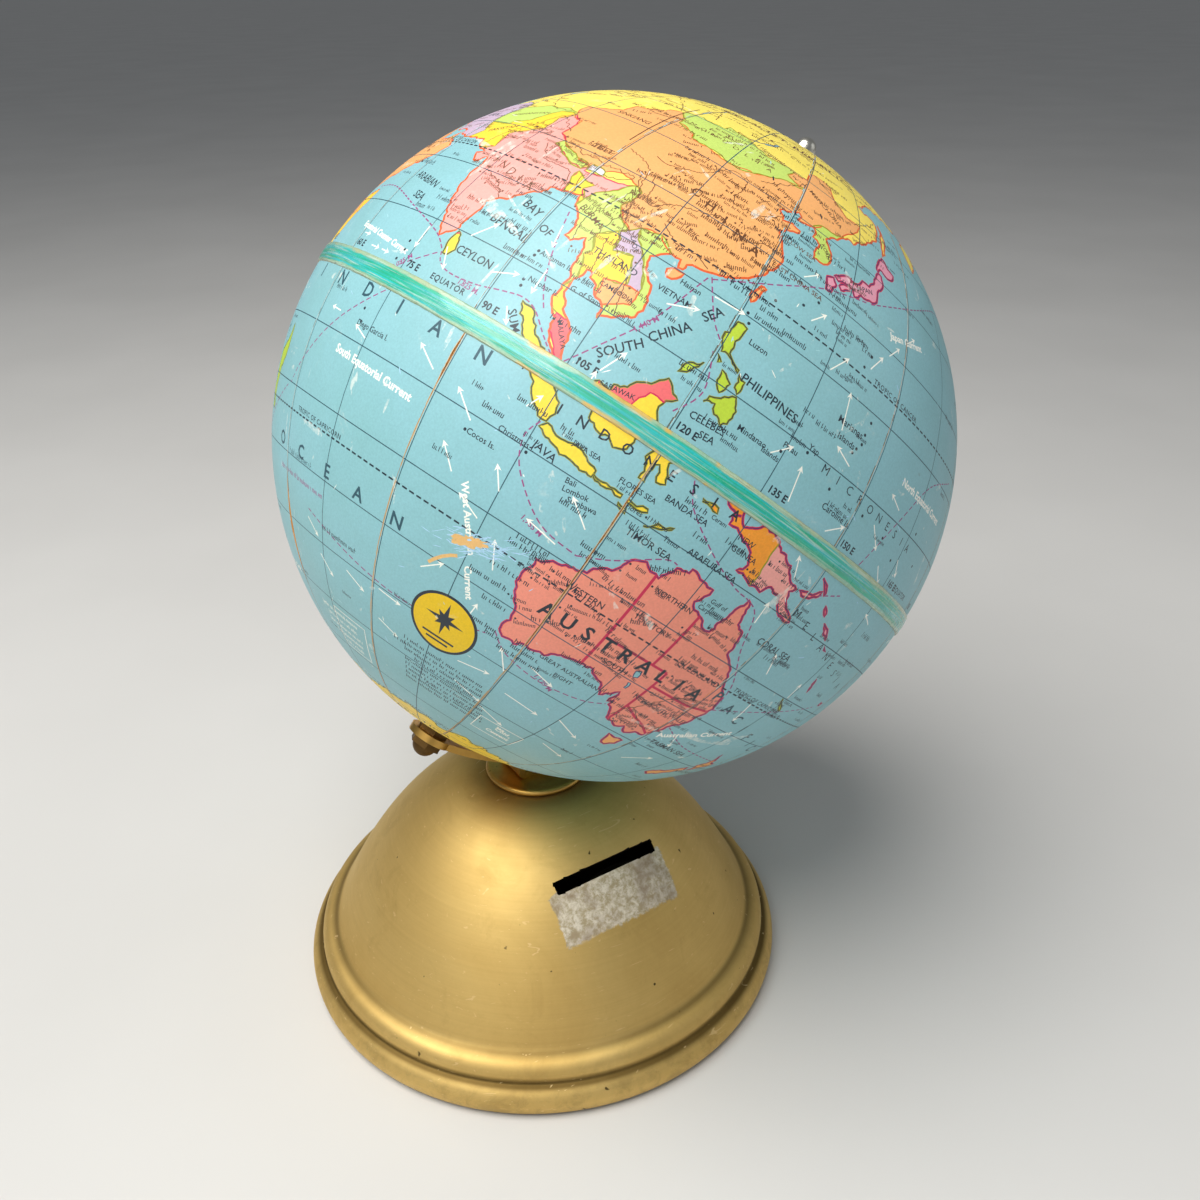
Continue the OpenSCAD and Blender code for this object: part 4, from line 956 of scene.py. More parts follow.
REGIONS = (
    ("orange", """130.6,42.4 131.3,43.5 133,45 135,48.3 131,47.7 127.5,49.8 126,52.8 123.5,53.5 120,52.7
        119.8,50 117.8,49.5 116.7,49.8 115.5,47.8 119.7,47 119.7,46.6 116,46 114,44.8 111.8,43.7 110,42.6
        105,41.6 100,42.6 96.4,42.8 95.5,44.2 91,45.2 90.8,47 87.8,49.2 85.5,48.2 85.5,47.1 82.5,45.3
        80.3,45 80.2,42.2 76,40.4 73.8,39.8 73.8,38.5 74.9,37.2 76,35.8 78.3,35.5 78.8,33 78.7,31.3
        81,30.2 84,28.8 86,28 88.2,27.9 88.8,27.3 89,28.1 91.7,27.8 94,29 97.3,28.2 98.7,27.5 98.4,25.5
        97.7,24 99.2,22.2 101.2,21.3 102.3,22.5 105.3,23.2 106.7,22 108,21.5 108.5,18.5 112,17.8 119,21.5
        123,22.5 127,32 123.5,38 124.3,40 126,41.5 128.2,41.6"""),
    ("green", """87.8,49.2 92,50.7 98,50.5 98.3,52 102,51.4 107,49.8 113,49.6 116.7,49.8 115.5,47.8
        119.7,47 119.7,46.6 116,46 114,44.8 111.8,43.7 110,42.6 105,41.6 100,42.6 96.4,42.8 95.5,44.2
        91,45.2 90.8,47"""),
    ("green", "124.3,40 126,41.5 128.2,41.6 130.6,42.4 131.5,38 130,34 125,33.5 124,37.5"),
    ("pink", """68,23.6 71,24.4 70,27.8 73,29.9 74.6,31.1 74.4,32.8 73.8,34.3 75.5,36.7 77.8,35.5 78.8,33
        78.7,31.3 81,30.2 80.1,28.8 84,27.4 88.1,26.4 88.9,27.2 88.9,26.4 92,26.9 97.3,28.2 96.2,27.2
        94.6,25 93.3,24 92.6,22 91.2,23.7 92.2,24.9 89.8,25.3 88.3,26 88.2,24.5 88.9,22.8 89,21 86,15
        82,11 79.6,9.2 79.2,8.3 77.5,6.5 70,10 66.5,21"""),
    ("yellow", "88.9,22.8 88.2,24.5 88.3,26 89.8,25.3 92.2,24.9 91.2,23.7 92.6,22 92.3,20.7 89,21"),
    ("yellow", """61.6,25.2 63.2,27.2 61,29.8 66.3,29.9 66.5,31 69.3,31.9 70.2,33.9 71.5,36.4 73.8,37
        75.5,36.7 73.8,34.3 74.4,32.8 74.6,31.1 73,29.9 70,27.8 71,24.4 68,23.6 66,24"""),
    ("green", """61,29.8 60.6,33 61.2,35.5 64.5,36.5 66.5,37.4 69.5,37.3 71.5,38 74.9,37.2 71.5,36.4
        70.2,33.9 69.3,31.9 66.5,31 66.3,29.9"""),
    ("lavender", """44.5,39.5 48,39.7 48.8,38.4 54,37.2 57,38.2 61.2,36.5 60.6,33 61,29.8 63.2,27.2
        61.6,25.2 57,24.5 50,27 48.5,29.9 47.7,31 46,33 45.5,35.8 44.5,37.3"""),
    ("orange", "35,29.5 37.8,31.5 39,32.1 42,31.2 46.5,29.1 48.4,28.5 54,26.5 60,23 57,15 43,11 36,22"),
    ("leaf", "39,32.1 42,31.2 46.5,29.1 48.4,28.5 47.7,31 46,33 45.5,35.8 42.5,37 41,34.5"),
    ("orange", "26,41 26,36 36,35.6 42.5,37 44.5,39.5 43.5,41.3 38,41.5 30,42"),
    ("green", "80.1,28.8 81,30.2 84,28.8 86,28 88.2,27.9 88.1,26.4 84,27.4"),
    ("pale", "88.9,27.2 89,28.1 91.7,27.8 92,26.9 89,26.7"),
    ("green", """92.3,20.8 92.6,22 93.3,24 94.6,25 96.2,27.2 97.3,28.2 98.7,27.5 98.4,25.5 97.7,24
        99.2,22.2 101.2,21.3 100,20.4 97.7,18.5 98.9,16 98.2,15.1 99.2,13 99.6,11.7 98.7,10 97,10 93,15"""),
    ("yellow", """100,20.4 101,19.5 101.2,17.5 104,18.3 104.8,16.5 105.6,14.3 102.5,13.6 102.9,11.7 101,11
        101.5,6.3 100.1,6.5 98,7.5 98.7,10 99.6,11.7 99.2,13 98.2,15.1 98.9,16 97.7,18.5"""),
    ("lavender", """100,20.4 101.2,21.3 102.3,22.5 103,20.8 104.5,19.6 106.5,16.9 107.5,15 107.5,14.4
        105.6,14.3 104.8,16.5 104,18.3 101.2,17.5 101,19.5"""),
    ("green", """102.3,22.5 105.3,23.2 108,21.5 107.5,18.5 110.5,14 109.5,10.5 105,8 104.4,10.4 106,11.5
        107.5,12.3 107.5,14.4 107.5,15 106.5,16.9 104.5,19.6 103,20.8"""),
    ("orange", "102.5,13.6 105.6,14.3 107.5,14.4 107.5,12.3 106,11.5 104.4,10.4 102.9,10.3 102.9,11.7"),
    ("red", "100.1,6.5 101.5,6.3 102.2,6.5 104.5,4 104.5,1.2 103.4,1.1 100,4.5"),
    ("red", "109.6,2.1 109.7,1.6 111,1 114.5,1.4 115.8,4.2 117.8,4.1 119.5,5 117,7.5 113,4.5"),
    ("amber", "129,1 141,1 141,-10 137,-10 129,-3"),
    ("rose", "-10,44 3,43.4 3,42 -1,36.5 -11,36"),
    ("green", "-5,49 2,51.5 6,49.5 8,48 7,44 3,42.4 -2,43.2"),
    ("orange", "6,51 9,55 14,54.5 15,51 13,48 8,47.7 6,49.5"),
    ("pink", "14,54.5 19,54.8 23.5,54 24,50.5 22,49 15,51"),
    ("leaf", "7,44 8,47 13,47 14,45.5 19,40 16,37 8,43"),
    ("orange", "19,46 21,48.5 28,48 29.5,45 28,43 22,43"),
    ("rose", "5,58 4,62 12,67 20,70.5 31,71 29,69 22,68.5 17,65 12,61 11,58.5"),
    ("orange", "12,60 14,64 18,68.5 23.5,68 24,65.7 17,60 14,55"),
    ("leaf", "24,65.7 23.5,68 28,70 31,64 28,60.3 21,60 21,63"),
    ("pink", "25,22 25,32.5 35,32.5 37,22"),
    ("orange", "10,24 10,33.5 25,33 25,20"),
    ("rose", "-9,27 -2,36 9,37.5 9.5,30 12,23 3,19 -5,25"),
    ("green", "-18,15 -5,25 3,19 15,23 15,13 4,11.5 -12,12.5"),
    ("pink", "3,11.5 14,13 14,5 4,4"),
    ("leaf", "22,22 37,22 39,15 34,8 24,8"),
    ("orange", "34,8 39,15 43,12.5 48,8 42,4 36,4"),
    ("green", "12,5 30,5 31,-8 25,-12 12,-6"),
    ("pink", "30,4 42,4 41,-11 31,-10"),
    ("orange", "11,-17 24,-17 24,-11 13,-6"),
    ("leaf", "24,-18 36,-20 41,-11 31,-10 24,-12"),
    ("pink", "16,-29 20,-24 33,-22 33,-36 17,-36"),
    ("ussr", "-170,60 -141,60 -141,71 -170,72"),
    ("yellow", "-125,49 -95,49 -83,46 -82,42 -75,45 -66,47 -70,40 -80,24 -97,25 -106,31.5 -117,32.5 -126,40"),
    ("green", "-117,32.5 -106,31.5 -97,25.5 -96,18 -88,15 -92,13 -108,20"),
    ("orange", "-92,17 -83,16 -83,11 -87,11 -93,14"),
    ("yellow", "-79,13 -72,13 -67,6 -70,-4 -79,1"),
    ("orange", "-72,13 -60,9 -60,2 -67,1 -67,6"),
    ("pink", "-60,9 -51,5 -52,2 -60,1"),
    ("orange", "-82,2 -75,0 -70,-5 -70,-18 -78,-14"),
    ("yellow", "-70,-9 -60,-12 -58,-20 -68,-22"),
    ("rose", "-76,-18 -69,-18 -70,-32 -72,-54 -66,-56 -78,-50"),
    ("ussr", "-69,-23 -62,-22 -54,-27 -57,-35 -60,-40 -67,-55 -71.5,-50 -70,-32"),
)
# Lines drawn over the land: state borders and rivers.
STATE_LINES = (
    "129,-14.5 129,-31.8", "138,-16.3 138,-26", "129,-26 141,-26", "141,-26 141,-38.2",
    "141,-29 149,-29 153.5,-28.2",
    "141,-34 144,-35.2 147,-36 150,-37.4",
)
RIVERS = (
    "121.5,31.5 118,31 116,29.8 112.5,30 110.5,31 107,29.5 104,28.7 101.5,26.5 100,27 99,30 95,33 91,34",
    "118.8,37.8 116,35.5 113.5,34.8 110.4,34.7 110.5,39.5 107,40.5 104,37 101,35.5 98,34.5 95.5,35",
    "113.3,22.5 110.5,23.4 107.5,23.2 104.5,25",
    "106.5,10 105.8,12.5 104.8,15.5 101.3,18 100.2,21 98.6,25 96,31",
    "95.5,16 95,20 96.3,23.5 97.5,27", "97.5,17 98.3,21 98.8,25 97,31", "100.5,13.5 100,16 99.5,19",
    "90.5,22.5 89.5,26 94.5,27.8 95.5,29.5 88,29.2 82,30.3", "88.2,22.3 87,25.2 82,25.5 79,28.5",
    "67.5,24 69.5,28.5 72,31.5 74,35.4 79.5,32.3", "81.5,16.6 79,18.8 75,20",
    "140.5,53 136,49.5 132,47.8 127,50.3 121,53.3",
    "126,72.8 127,68 123,64.5 128,62.5 122,60.5 110,57.5 106,54.5", "82,72 87,67 89,60 92,55.5 94,52",
    "73,67.5 66,65.5 69,61 74,58 83,53 87,49.5", "53,67.5 57,65 57,62", "60.5,44 63,40.5 68,37.3 73,37.2",
    "48.3,46 45,48.6 50,53.4 49,56 42,56.5 37,57.5", "31.5,31.3 31,26 33,22 32,18.5 33,14 31.5,9 31.5,3.5",
    "12.6,-6 16,-3.2 18.5,1.8 24,1 26,-5", "6.5,4.8 6,8 3.5,12 -1,17 -6,13.5",
    "36,-18.7 30,-16 25.5,-17.8 22.5,-14",
    "-89.5,29.5 -91,34 -90,38.5 -91.5,43 -94,47", "-90.2,38.8 -95,40 -100,44.5 -106,48 -111,47",
    "-51,0.3 -57,-2.2 -64,-3.3 -70,-4 -75,-8", "-58.3,-34 -60,-30 -57.5,-24 -56,-17",
    "140.5,-37 142,-34 146,-36 148,-36.5",
    "142,-34 146,-29 149.5,-27.5", "138,45.5 134.5,47.2", "112,42 116,44.5 120.5,49", "115.5,39 114,37.5",
)


EDGE_INK = {"orange": "rust", "pink": "magenta", "red": "magenta", "rose": "magenta"}


def lands():
    """Lands with their coasts, lakes, regions with their borders, state lines and rivers."""
    for ink, coast, outline in LANDS.values():
        shape = roughened(points(outline))
        add(shape, LAND, ink)
        width = 0.42 if coast == "magenta" else 0.34
        ribbon(shape, width, COAST, coast, True)
        if coast in ("magenta", "olive"):
            ribbon(shape, 0.14, COAST, "navy" if coast == "magenta" else "black", True)
    for outline in LAKES.values():
        shape = roughened(points(outline))
        add(shape, LAKE, "ocean")
        ribbon(shape, 0.16, COAST, "navy", True)
    for ink, outline in REGIONS:
        shape = roughened(points(outline), 0.9, 0.1)
        add(shape, REGION, ink)
        ribbon(shape, 0.22, BORDER, EDGE_INK.get(ink, "olive"), True)
    for line in STATE_LINES:
        ribbon(spaced(points(line), 2.5), 0.42, BORDER, "magenta")
    for line in RIVERS:
        ribbon(roughened(curve_through(points(line), 5), 0.5, 0.35, False), 0.13, BORDER, "brown")


def graticule():
    """Parallels, meridians, and the dashed tropics and polar circles."""
    for lat in range(-70, 80, 10):
        if lat:
            ribbon([(lon, lat) for lon in range(-180, 181, 3)], 0.15, GRID, "grid")
    for lon in range(-180, 180, 15):
        limit = 80 if lon % 30 == 15 else 79
        ribbon([(lon + (0.35 if lon % 30 == 0 else 0), lat) for lat in range(-limit, limit + 1, 3)],
               0.15, GRID, "grid")
    for lat in (-66.5, -23.5, 23.5, 66.5):
        dashes([(lon, lat) for lon in range(-180, 181, 3)], 0.26, 0.85, 0.45, GRID, "black")


# ---- The printed map: words and signs ---------------------------------------
# Words whose letters are spread out: the first and last letter's place, size, ink and boldness.
SPREAD_WORDS = (
    ("AUSTRALIA", (119.5, -27.2), (148, -26.6), 3.1, "black", 0.025),
    ("CHINA", (105, 32.6), (117.5, 29.2), 2.1, "brown", 0.02),
    ("INDONESIA", (106.5, -3.6), (133, -2.6), 2.0, "black", 0.015),
    ("MICRONESIA", (142, 9.2), (166, 8.4), 1.8, "black", 0.0),
    ("MELANESIA", (151, -8.6), (176, -14), 1.8, "black", 0.0),
    ("PACIFIC", (152, -25), (178, -31), 2.6, "grid", 0.02),
    ("NORTH PACIFIC OCEAN", (-172, 35), (-132, 33), 2.4, "grid", 0.02),
    ("SOUTH PACIFIC OCEAN", (-160, -33), (-92, -36), 2.6, "grid", 0.02),
    ("ATLANTIC OCEAN", (-52, 33), (-20, 20), 2.4, "grid", 0.02),
    ("SOUTH ATLANTIC", (-30, -22), (5, -34), 2.4, "grid", 0.02),
    ("AFRICA", (14, 14), (30, -8), 3.0, "black", 0.03),
    ("EUROPE", (10, 53), (34, 50), 2.4, "black", 0.03),
    ("NORTH AMERICA", (-122, 54), (-76, 50), 2.6, "black", 0.03),
    ("SOUTH AMERICA", (-66, 2), (-50, -24), 2.4, "black", 0.03),
    ("UNITED STATES", (-118, 40), (-80, 38), 1.8, "black", 0.02),
    ("BRAZIL", (-62, -6), (-44, -11), 2.0, "black", 0.02),
    ("UNION OF SOVIET SOCIALIST REPUBLICS", (48, 59), (134, 61), 2.2, "brown", 0.02),
    ("MONGOLIA", (93, 46.8), (112, 45.8), 1.3, "brown", 0.0),
    ("INDIA", (74.5, 22.4), (84, 20.2), 2.0, "brown", 0.0),
)
# Words: place, size and slope.
PLACE_WORDS = (
    ("BAY", 87.6, 17.4, 1.9, -14), ("OF", 91.6, 15.4, 1.7, -14), ("BENGAL", 86.8, 13.4, 1.9, -6),
    ("CEYLON", 85.2, 7.6, 1.7, 0), ("SOUTH", 109.5, 6.9, 1.85, 46), ("CHINA", 113.7, 12.2, 1.85, 50),
    ("SEA", 117.2, 17.4, 1.85, 54), ("PHILIPPINES", 129.6, 12.4, 1.8, -3),
    ("CELEBES", 124.0, 5.0, 1.4, 4), ("SEA", 124.9, 3.4, 1.4, 4), ("BORNEO", 113.6, 0.9, 1.7, 0),
    ("SARAWAK", 112.2, 2.25, 1.0, 8), ("THAILAND", 102.4, 16.4, 1.35, 0), ("BURMA", 95.6, 20.4, 1.4, -20),
    ("LAOS", 103, 19.9, 1.0, -50), ("CAMBODIA", 105, 12.9, 0.95, 0), ("VIETNAM", 111.6, 16.6, 1.2, 0),
    ("MALAYA", 102.3, 4.4, 1.0, -50), ("SUMATRA", 97.4, 1.2, 1.7, -46), ("JAVA", 107.6, -9.1, 1.6, -8),
    ("JAVA SEA", 112.2, -6.2, 1.0, 0), ("ARABIAN", 65, 15.4, 1.8, -8), ("SEA", 67.2, 12.4, 1.8, -8),
    ("G. of Siam", 102, 10.3, 1.1, 0), ("Andaman Is.", 95.8, 12.4, 1.05, 0),
    ("Nicobar Is.", 96.6, 8.6, 1.1, 0), ("Hainan", 112.8, 18.9, 1.1, 0),
    ("Marianas", 142.8, 16.2, 1.4, 0), ("Islands", 143, 14.2, 1.3, 0), ("Luzon", 124.8, 17.2, 1.2, 0),
    ("Mindanao", 130, 6.9, 1.2, 0), ("Palau", 135.6, 8.6, 1.2, 0), ("Yap", 138.8, 10.4, 1.2, 0),
    ("Caroline Is.", 147.4, 5.2, 1.35, 0), ("Islands", 133.4, 6.4, 1.1, 0),
    ("Halmahera", 131.9, 1.2, 1.05, 0), ("FLORES SEA", 120.4, -6.9, 1.05, 0),
    ("BANDA SEA", 127.2, -5.6, 1.25, 0), ("CORAL SEA", 152.6, -14.6, 1.5, 0),
    ("TIMOR SEA", 125.6, -11.9, 1.4, 0), ("ARAFURA SEA", 134.6, -9.7, 1.3, 0),
    ("Timor", 128, -10.1, 1.0, 0), ("Bali", 112.6, -10.6, 1.1, 6), ("Lombok", 113.9, -11.5, 1.1, 8),
    ("Sumbawa", 115.4, -12.4, 1.1, 8), ("Flores", 121.4, -9.2, 1.0, 0), ("Ceram", 131.6, -4.4, 0.9, 0),
    ("Cocos Is.", 99.4, -12.1, 1.2, 0), ("Christmas I.", 103.6, -9.6, 1.15, 0),
    ("Diego Garcia I.", 75.4, -7.4, 1.2, 0), ("WESTERN", 122.6, -22.4, 1.35, 0),
    ("NORTHERN", 133.4, -16.4, 1.15, 0), ("TERRITORY", 133.4, -21, 1.15, 0),
    ("SOUTH", 133.6, -29.3, 1.25, 0), ("QUEENSLAND", 145.4, -23.6, 1.3, 0),
    ("NEW SOUTH WALES", 146.6, -31.9, 1.15, 0), ("VICTORIA", 144.2, -36.9, 0.95, 0),
    ("GREAT AUSTRALIAN", 128.8, -34.2, 1.05, 0), ("BIGHT", 128.8, -35.8, 1.05, 0),
    ("Gulf of", 139.2, -13.6, 1.0, 0), ("Carpentaria", 139.2, -15.1, 1.0, 0),
    ("NEW", 136.6, -4.6, 1.2, 0), ("GUINEA", 137.4, -6.2, 1.2, 0), ("TASMAN SEA", 158, -38, 1.5, 0),
    ("NEW ZEALAND", 178.6, -42.6, 1.3, 0), ("JAPAN", 137.6, 36.1, 1.1, 24),
    ("YELLOW SEA", 123.4, 34.4, 1.0, 0), ("EAST CHINA SEA", 125.6, 29.2, 1.1, 0),
    ("KOREA", 128.4, 37, 0.9, -50), ("PAKISTAN", 66.8, 28.6, 1.1, 30), ("IRAN", 55, 32.4, 1.8, 0),
    ("ARABIA", 47, 23.4, 2.0, -20), ("AFGHANISTAN", 66.4, 33.8, 0.95, 24), ("TIBET", 87.6, 31.6, 1.4, 0),
    ("NEPAL", 84, 28.3, 0.8, -12), ("MANCHURIA", 125.8, 46, 1.2, -30), ("SINKIANG", 84, 41.4, 1.3, 0),
    ("ALASKA", -153, 64.6, 1.6, 0), ("CANADA", -105, 58, 2.0, 0), ("MEXICO", -102, 23.6, 1.6, -30),
    ("GREENLAND", -42, 72, 1.8, 0), ("FRANCE", 2.4, 46.8, 1.0, 0), ("SPAIN", -4, 40, 1.1, 0),
    ("EGYPT", 29, 27, 1.3, 0), ("SUDAN", 29.6, 14, 1.4, 0), ("CONGO", 22, -2, 1.5, 0),
    ("ARGENTINA", -65, -36, 1.4, -80), ("PERU", -74.6, -9, 1.2, -50), ("ANTARCTICA", 98, -72.4, 2.6, 0),
    ("ANTARCTICA", -20, -76, 2.4, 0), ("HUDSON BAY", -86, 60.2, 1.1, 0),
    ("CARIBBEAN SEA", -75, 15, 1.2, 0),
)
CURRENT_WORDS = (
    ("South Equatorial Current", 78.4, -12.2, 1.7, -2),
    ("Equatorial Counter Current", 66.5, 4.9, 1.35, -6), ("West Australian", 102.9, -22.2, 1.5, -58),
    ("Current", 107.2, -30.4, 1.5, -64), ("Australian Current", 157.8, -33, 1.6, 34),
    ("Cold", 130, -54.4, 1.2, 0), ("Current", 130, -56, 1.2, 0),
    ("North Equatorial Current", 166, 15.4, 1.6, 0), ("Japan Current", 150, 34, 1.5, 20),
    ("Gulf Stream", -60, 39, 1.6, 20), ("South Equatorial Current", -120, -9, 1.7, 0),
    ("Humboldt Current", -80, -24, 1.5, 70), ("Brazil Current", -38, -28, 1.5, 60),
    ("Antarctic Drift", 50, -50, 1.5, 0), ("Antarctic Drift", -150, -54, 1.5, 0),
)
# Sea distances: place and slope.
DISTANCE_WORDS = (
    ("1,825 M.", 87.4, 3.7, -2), ("1,965 M", 111.2, -18.2, -14), ("1,440 M", 110.6, 11.4, 60),
    ("3,095 M", 74.4, 2.6, 50), ("1,179 M", 126.8, -38.4, -20),
)


def words():
    """Degrees, the named circles, and the plain names of seas, lands and currents."""
    for lon in range(-165, 181, 15):
        text = str(abs(lon)) + (" E" if 0 < lon < 180 else " W" if lon < 0 else "")
        letters(text, lon + 0.42 * len(text) + 0.3, 2.75, 1.45, "black", 0, 0.03)
    for lon in (84.2, 24, -36, -96, -156, 172):
        letters("EQUATOR", lon, 2.75, 1.25, "black", 0, 0.02, 1.15)
    for lon in (70, 160, -110, -20):
        letters("TROPIC OF CAPRICORN", lon, -22.7, 1.05, "black", 0, 0.015, 1.15)
        letters("TROPIC OF CANCER", lon - 10, 24.2, 1.05, "black", 0, 0.015, 1.15)
    letters("ANTARCTIC CIRCLE", 110, -65.6, 1.0)
    for word, lat, places in (("INDIAN", -2.9, (53, 62.3, 70.6, 78.3, 85.8, 94)),
                              ("OCEAN", -28.4, (57, 66.2, 75.3, 83.6, 92.3))):
        for letter, lon in zip(word, places):
            letters(letter, lon, lat, 3.0, "grid", 0, 0.02)
    for row in SPREAD_WORDS:
        spread_letters(*row)
    for text, lon, lat, size, angle in PLACE_WORDS:
        letters(text, lon, lat, size, "brown" if lat > 20 and 60 < lon < 130 else "black", angle)
    for text, lon, lat, size, angle in CURRENT_WORDS:
        letters(text, lon, lat, size, "white", angle, 0.03)
    for text, lon, lat, angle in DISTANCE_WORDS:
        letters(text, lon, lat, 1.1, "purple", angle, 0.02)


# Dashed sea routes.
ROUTES = (
    "79.9,6.2 81,4.8 83.5,4.1 88,4.4 92,5.4 95,6 97.4,5.4 100,3.4 101.6,2.2 103.5,1", "79.4,5.8 74,1.8",
    "74,-1.9 66,-9 60,-16 57.4,-20", "79.6,6.6 76.4,8.4 68,10.6 58,12.8 50,12.6",
    "92.4,19.4 94.6,13 96.6,8.6 98.4,6", "104.4,1.6 107,5.6 111,12.4 114,21.4",
    "114.4,21.8 117.6,17 120,14.8", "105.2,-6.2 104.3,-9 106.2,-13 112,-17.4 118.4,-18.4",
    "114.6,-34.8 118.4,-37.4 126,-38.6 134,-37.6 138,-35.8",
    "70,-36 84,-38.6 96,-39.6 104,-38.6 113.4,-36", "118.4,-18.4 123,-16.2 128.6,-12.4 130.8,-12.2",
    "125.8,-1.9 127.8,-5 133.6,-8.4 139,-10.4 142,-10.8",
    "142,-10.8 144.8,-12 147.6,-17.4 152,-22.6 153.6,-27", "119.4,3.8 121.4,8 119.6,13.6",
    "114.5,21.5 122,26 130,31 139,34.4", "139.6,34.6 150,40 165,47 -180,50", "152,-5 156,-3.2",
    "156.4,1.8 160,10 166,18 176,22", "151.6,-34 160,-36.4 174.6,-37", "153.6,-27.6 163,-24 176,-19",
    "-122.6,37.6 -135,35 -158,21.6", "-180,50 -160,51 -135,44 -124.6,40", "-158,21 -170,5 180,-17",
    "-73.8,40.4 -50,42 -20,49 -6,50", "-79.6,9 -90,5 -120,-8 -150,-17",
    "-79,9.6 -75,15 -70,25 -66,32 -10,49", "18.2,-34.4 5,-25 -10,0 -19,14 -11,36",
    "-43,-23.4 -34,-8.6 -26,5 -19,14", "56,-20.6 40,-30 30,-33.6", "43.6,12.2 38,20 33,27.6",
)
# Current arrows: place, heading and length.
ARROWS = (
    (83.8, 11.6, 52, 4.2), (93.6, 15.4, -76, 3.6), (95.6, 8.8, -88, 3.8), (90.8, 7.6, 22, 4.2),
    (66.6, 2.9, 0, 2.4), (74.8, 6.8, -88, 3.6), (69.6, 2.9, -2, 2.0), (81.2, 5.6, -60, 3.6),
    (94.6, 2.9, -58, 2.6), (62, 4.3, 0, 2.0), (109.8, 5.0, 66, 4.2), (103.2, -4.4, 62, 2.6),
    (65, -7.2, 178, 2.8), (73.2, -8.4, 162, 3.4), (86.6, -6.7, 150, 4.4), (95, -9.4, 142, 4.8),
    (96.2, -16.4, 134, 4.2), (104, -15.2, 122, 3.6), (102, -20.6, 156, 4.2), (115.6, -13.4, 142, 4.6),
    (112.6, -18.2, 170, 5.0), (108.6, -24.6, 112, 4.4), (100.6, -31.2, 40, 4.0), (94.4, -40.6, -4, 4.2),
    (95, -46.6, -18, 4.0), (85.4, -42.2, -22, 4.2), (76, -43.4, -40, 4.0), (71.6, -38.4, -34, 3.6),
    (109.6, -34.6, 82, 4.4), (114.8, -43.2, 14, 5.0), (118.4, -38.6, 120, 4.4), (116.6, -49, -18, 5.2),
    (127, -44.8, -6, 6.0), (124.4, -51.6, -22, 5.2), (138.4, -44.6, -24, 5.2), (142.8, -51.8, -16, 5.0),
    (125.8, -37.6, -16, 4.6), (113.4, 16.0, 24, 4.4), (118.6, 19.8, 4, 4.6), (134.6, 7.8, 44, 3.6),
    (138.8, 5.2, 100, 5.0), (143.6, 12.2, 160, 3.6), (141, 17.6, 100, 5.4), (148.4, 3.6, 36, 3.6),
    (137, 22.6, 56, 4.0), (143.6, 26.8, 60, 3.6), (147, 30.6, 52, 3.2), (151, 34.6, 44, 3.4),
    (131, 26.4, 52, 3.0), (127.4, 31.6, 46, 3.0), (156.6, 6.2, -40, 4.2), (157.4, 12.2, 160, 3.4),
    (162, 2.4, -40, 3.4), (145.6, -3.6, 118, 3.6), (145.6, -11.2, 96, 3.6), (154.4, -16.6, 118, 3.8),
    (164.6, -18.2, 100, 3.2), (166, -3.4, 160, 3.0), (157, -43.2, 40, 5.0), (166, 5, -50, 3.0),
    (159.6, -25.6, -76, 4.2), (156, -36, -60, 4.0), (108.6, 1.6, 88, 2.6),
)


def signs():
    """Dashed sea routes, the current arrows, and seeded arrows on the seas that the table leaves out."""
    for line in ROUTES:
        path = points(line)
        path = [(lon - 360 if path[0][0] < 0 < lon - 90 else lon, lat) for lon, lat in path]
        if path[0][0] > 90 and path[-1][0] < 0:
            path = [(lon + 360 if lon < 0 else lon, lat) for lon, lat in path]
        dashes(curve_through(path), 0.2, 0.95, 0.5, ROUTE, "purple")
    for place in ARROWS:
        arrow(*place)
    dice = random.Random(11)
    for _ in range(70):
        lon, lat = dice.uniform(-178, 48), dice.uniform(-60, 60)
        heading = 0 if abs(lat) > 30 else 180
        arrow(lon, lat, heading + dice.uniform(-35, 35), dice.uniform(3, 4.5))


def is_land(lon, lat, shapes):
    """Whether a place is inside any land outline."""
    inside = False
    for line in shapes:
        for (x0, y0), (x1, y1) in zip(line, line[1:] + line[:1]):
            if (y0 > lat) != (y1 > lat) and lon < x0 + (x1 - x0) * (lat - y0) / (y1 - y0):
                inside = not inside
    return inside


# Where unreadable names crowd: west, east, south, north, and how many are tried.
CROWDS = (
    (98, 122, 22, 42, 170), (70, 90, 9, 32, 110), (92, 108, 9, 27, 50), (60, 150, 42, 66, 170),
    (114, 153, -38, -13, 120), (118, 142, 20, 40, 80), (140, 178, -24, 8, 110), (-10, 45, 34, 66, 120),
    (-16, 48, -34, 34, 170), (-125, -62, 16, 60, 190), (-80, -38, -50, 10, 110), (34, 62, 13, 40, 60),
    (94, 140, -12, 14, 80), (144, 162, -46, -26, 46), (-180, 180, -60, 60, 200),
)
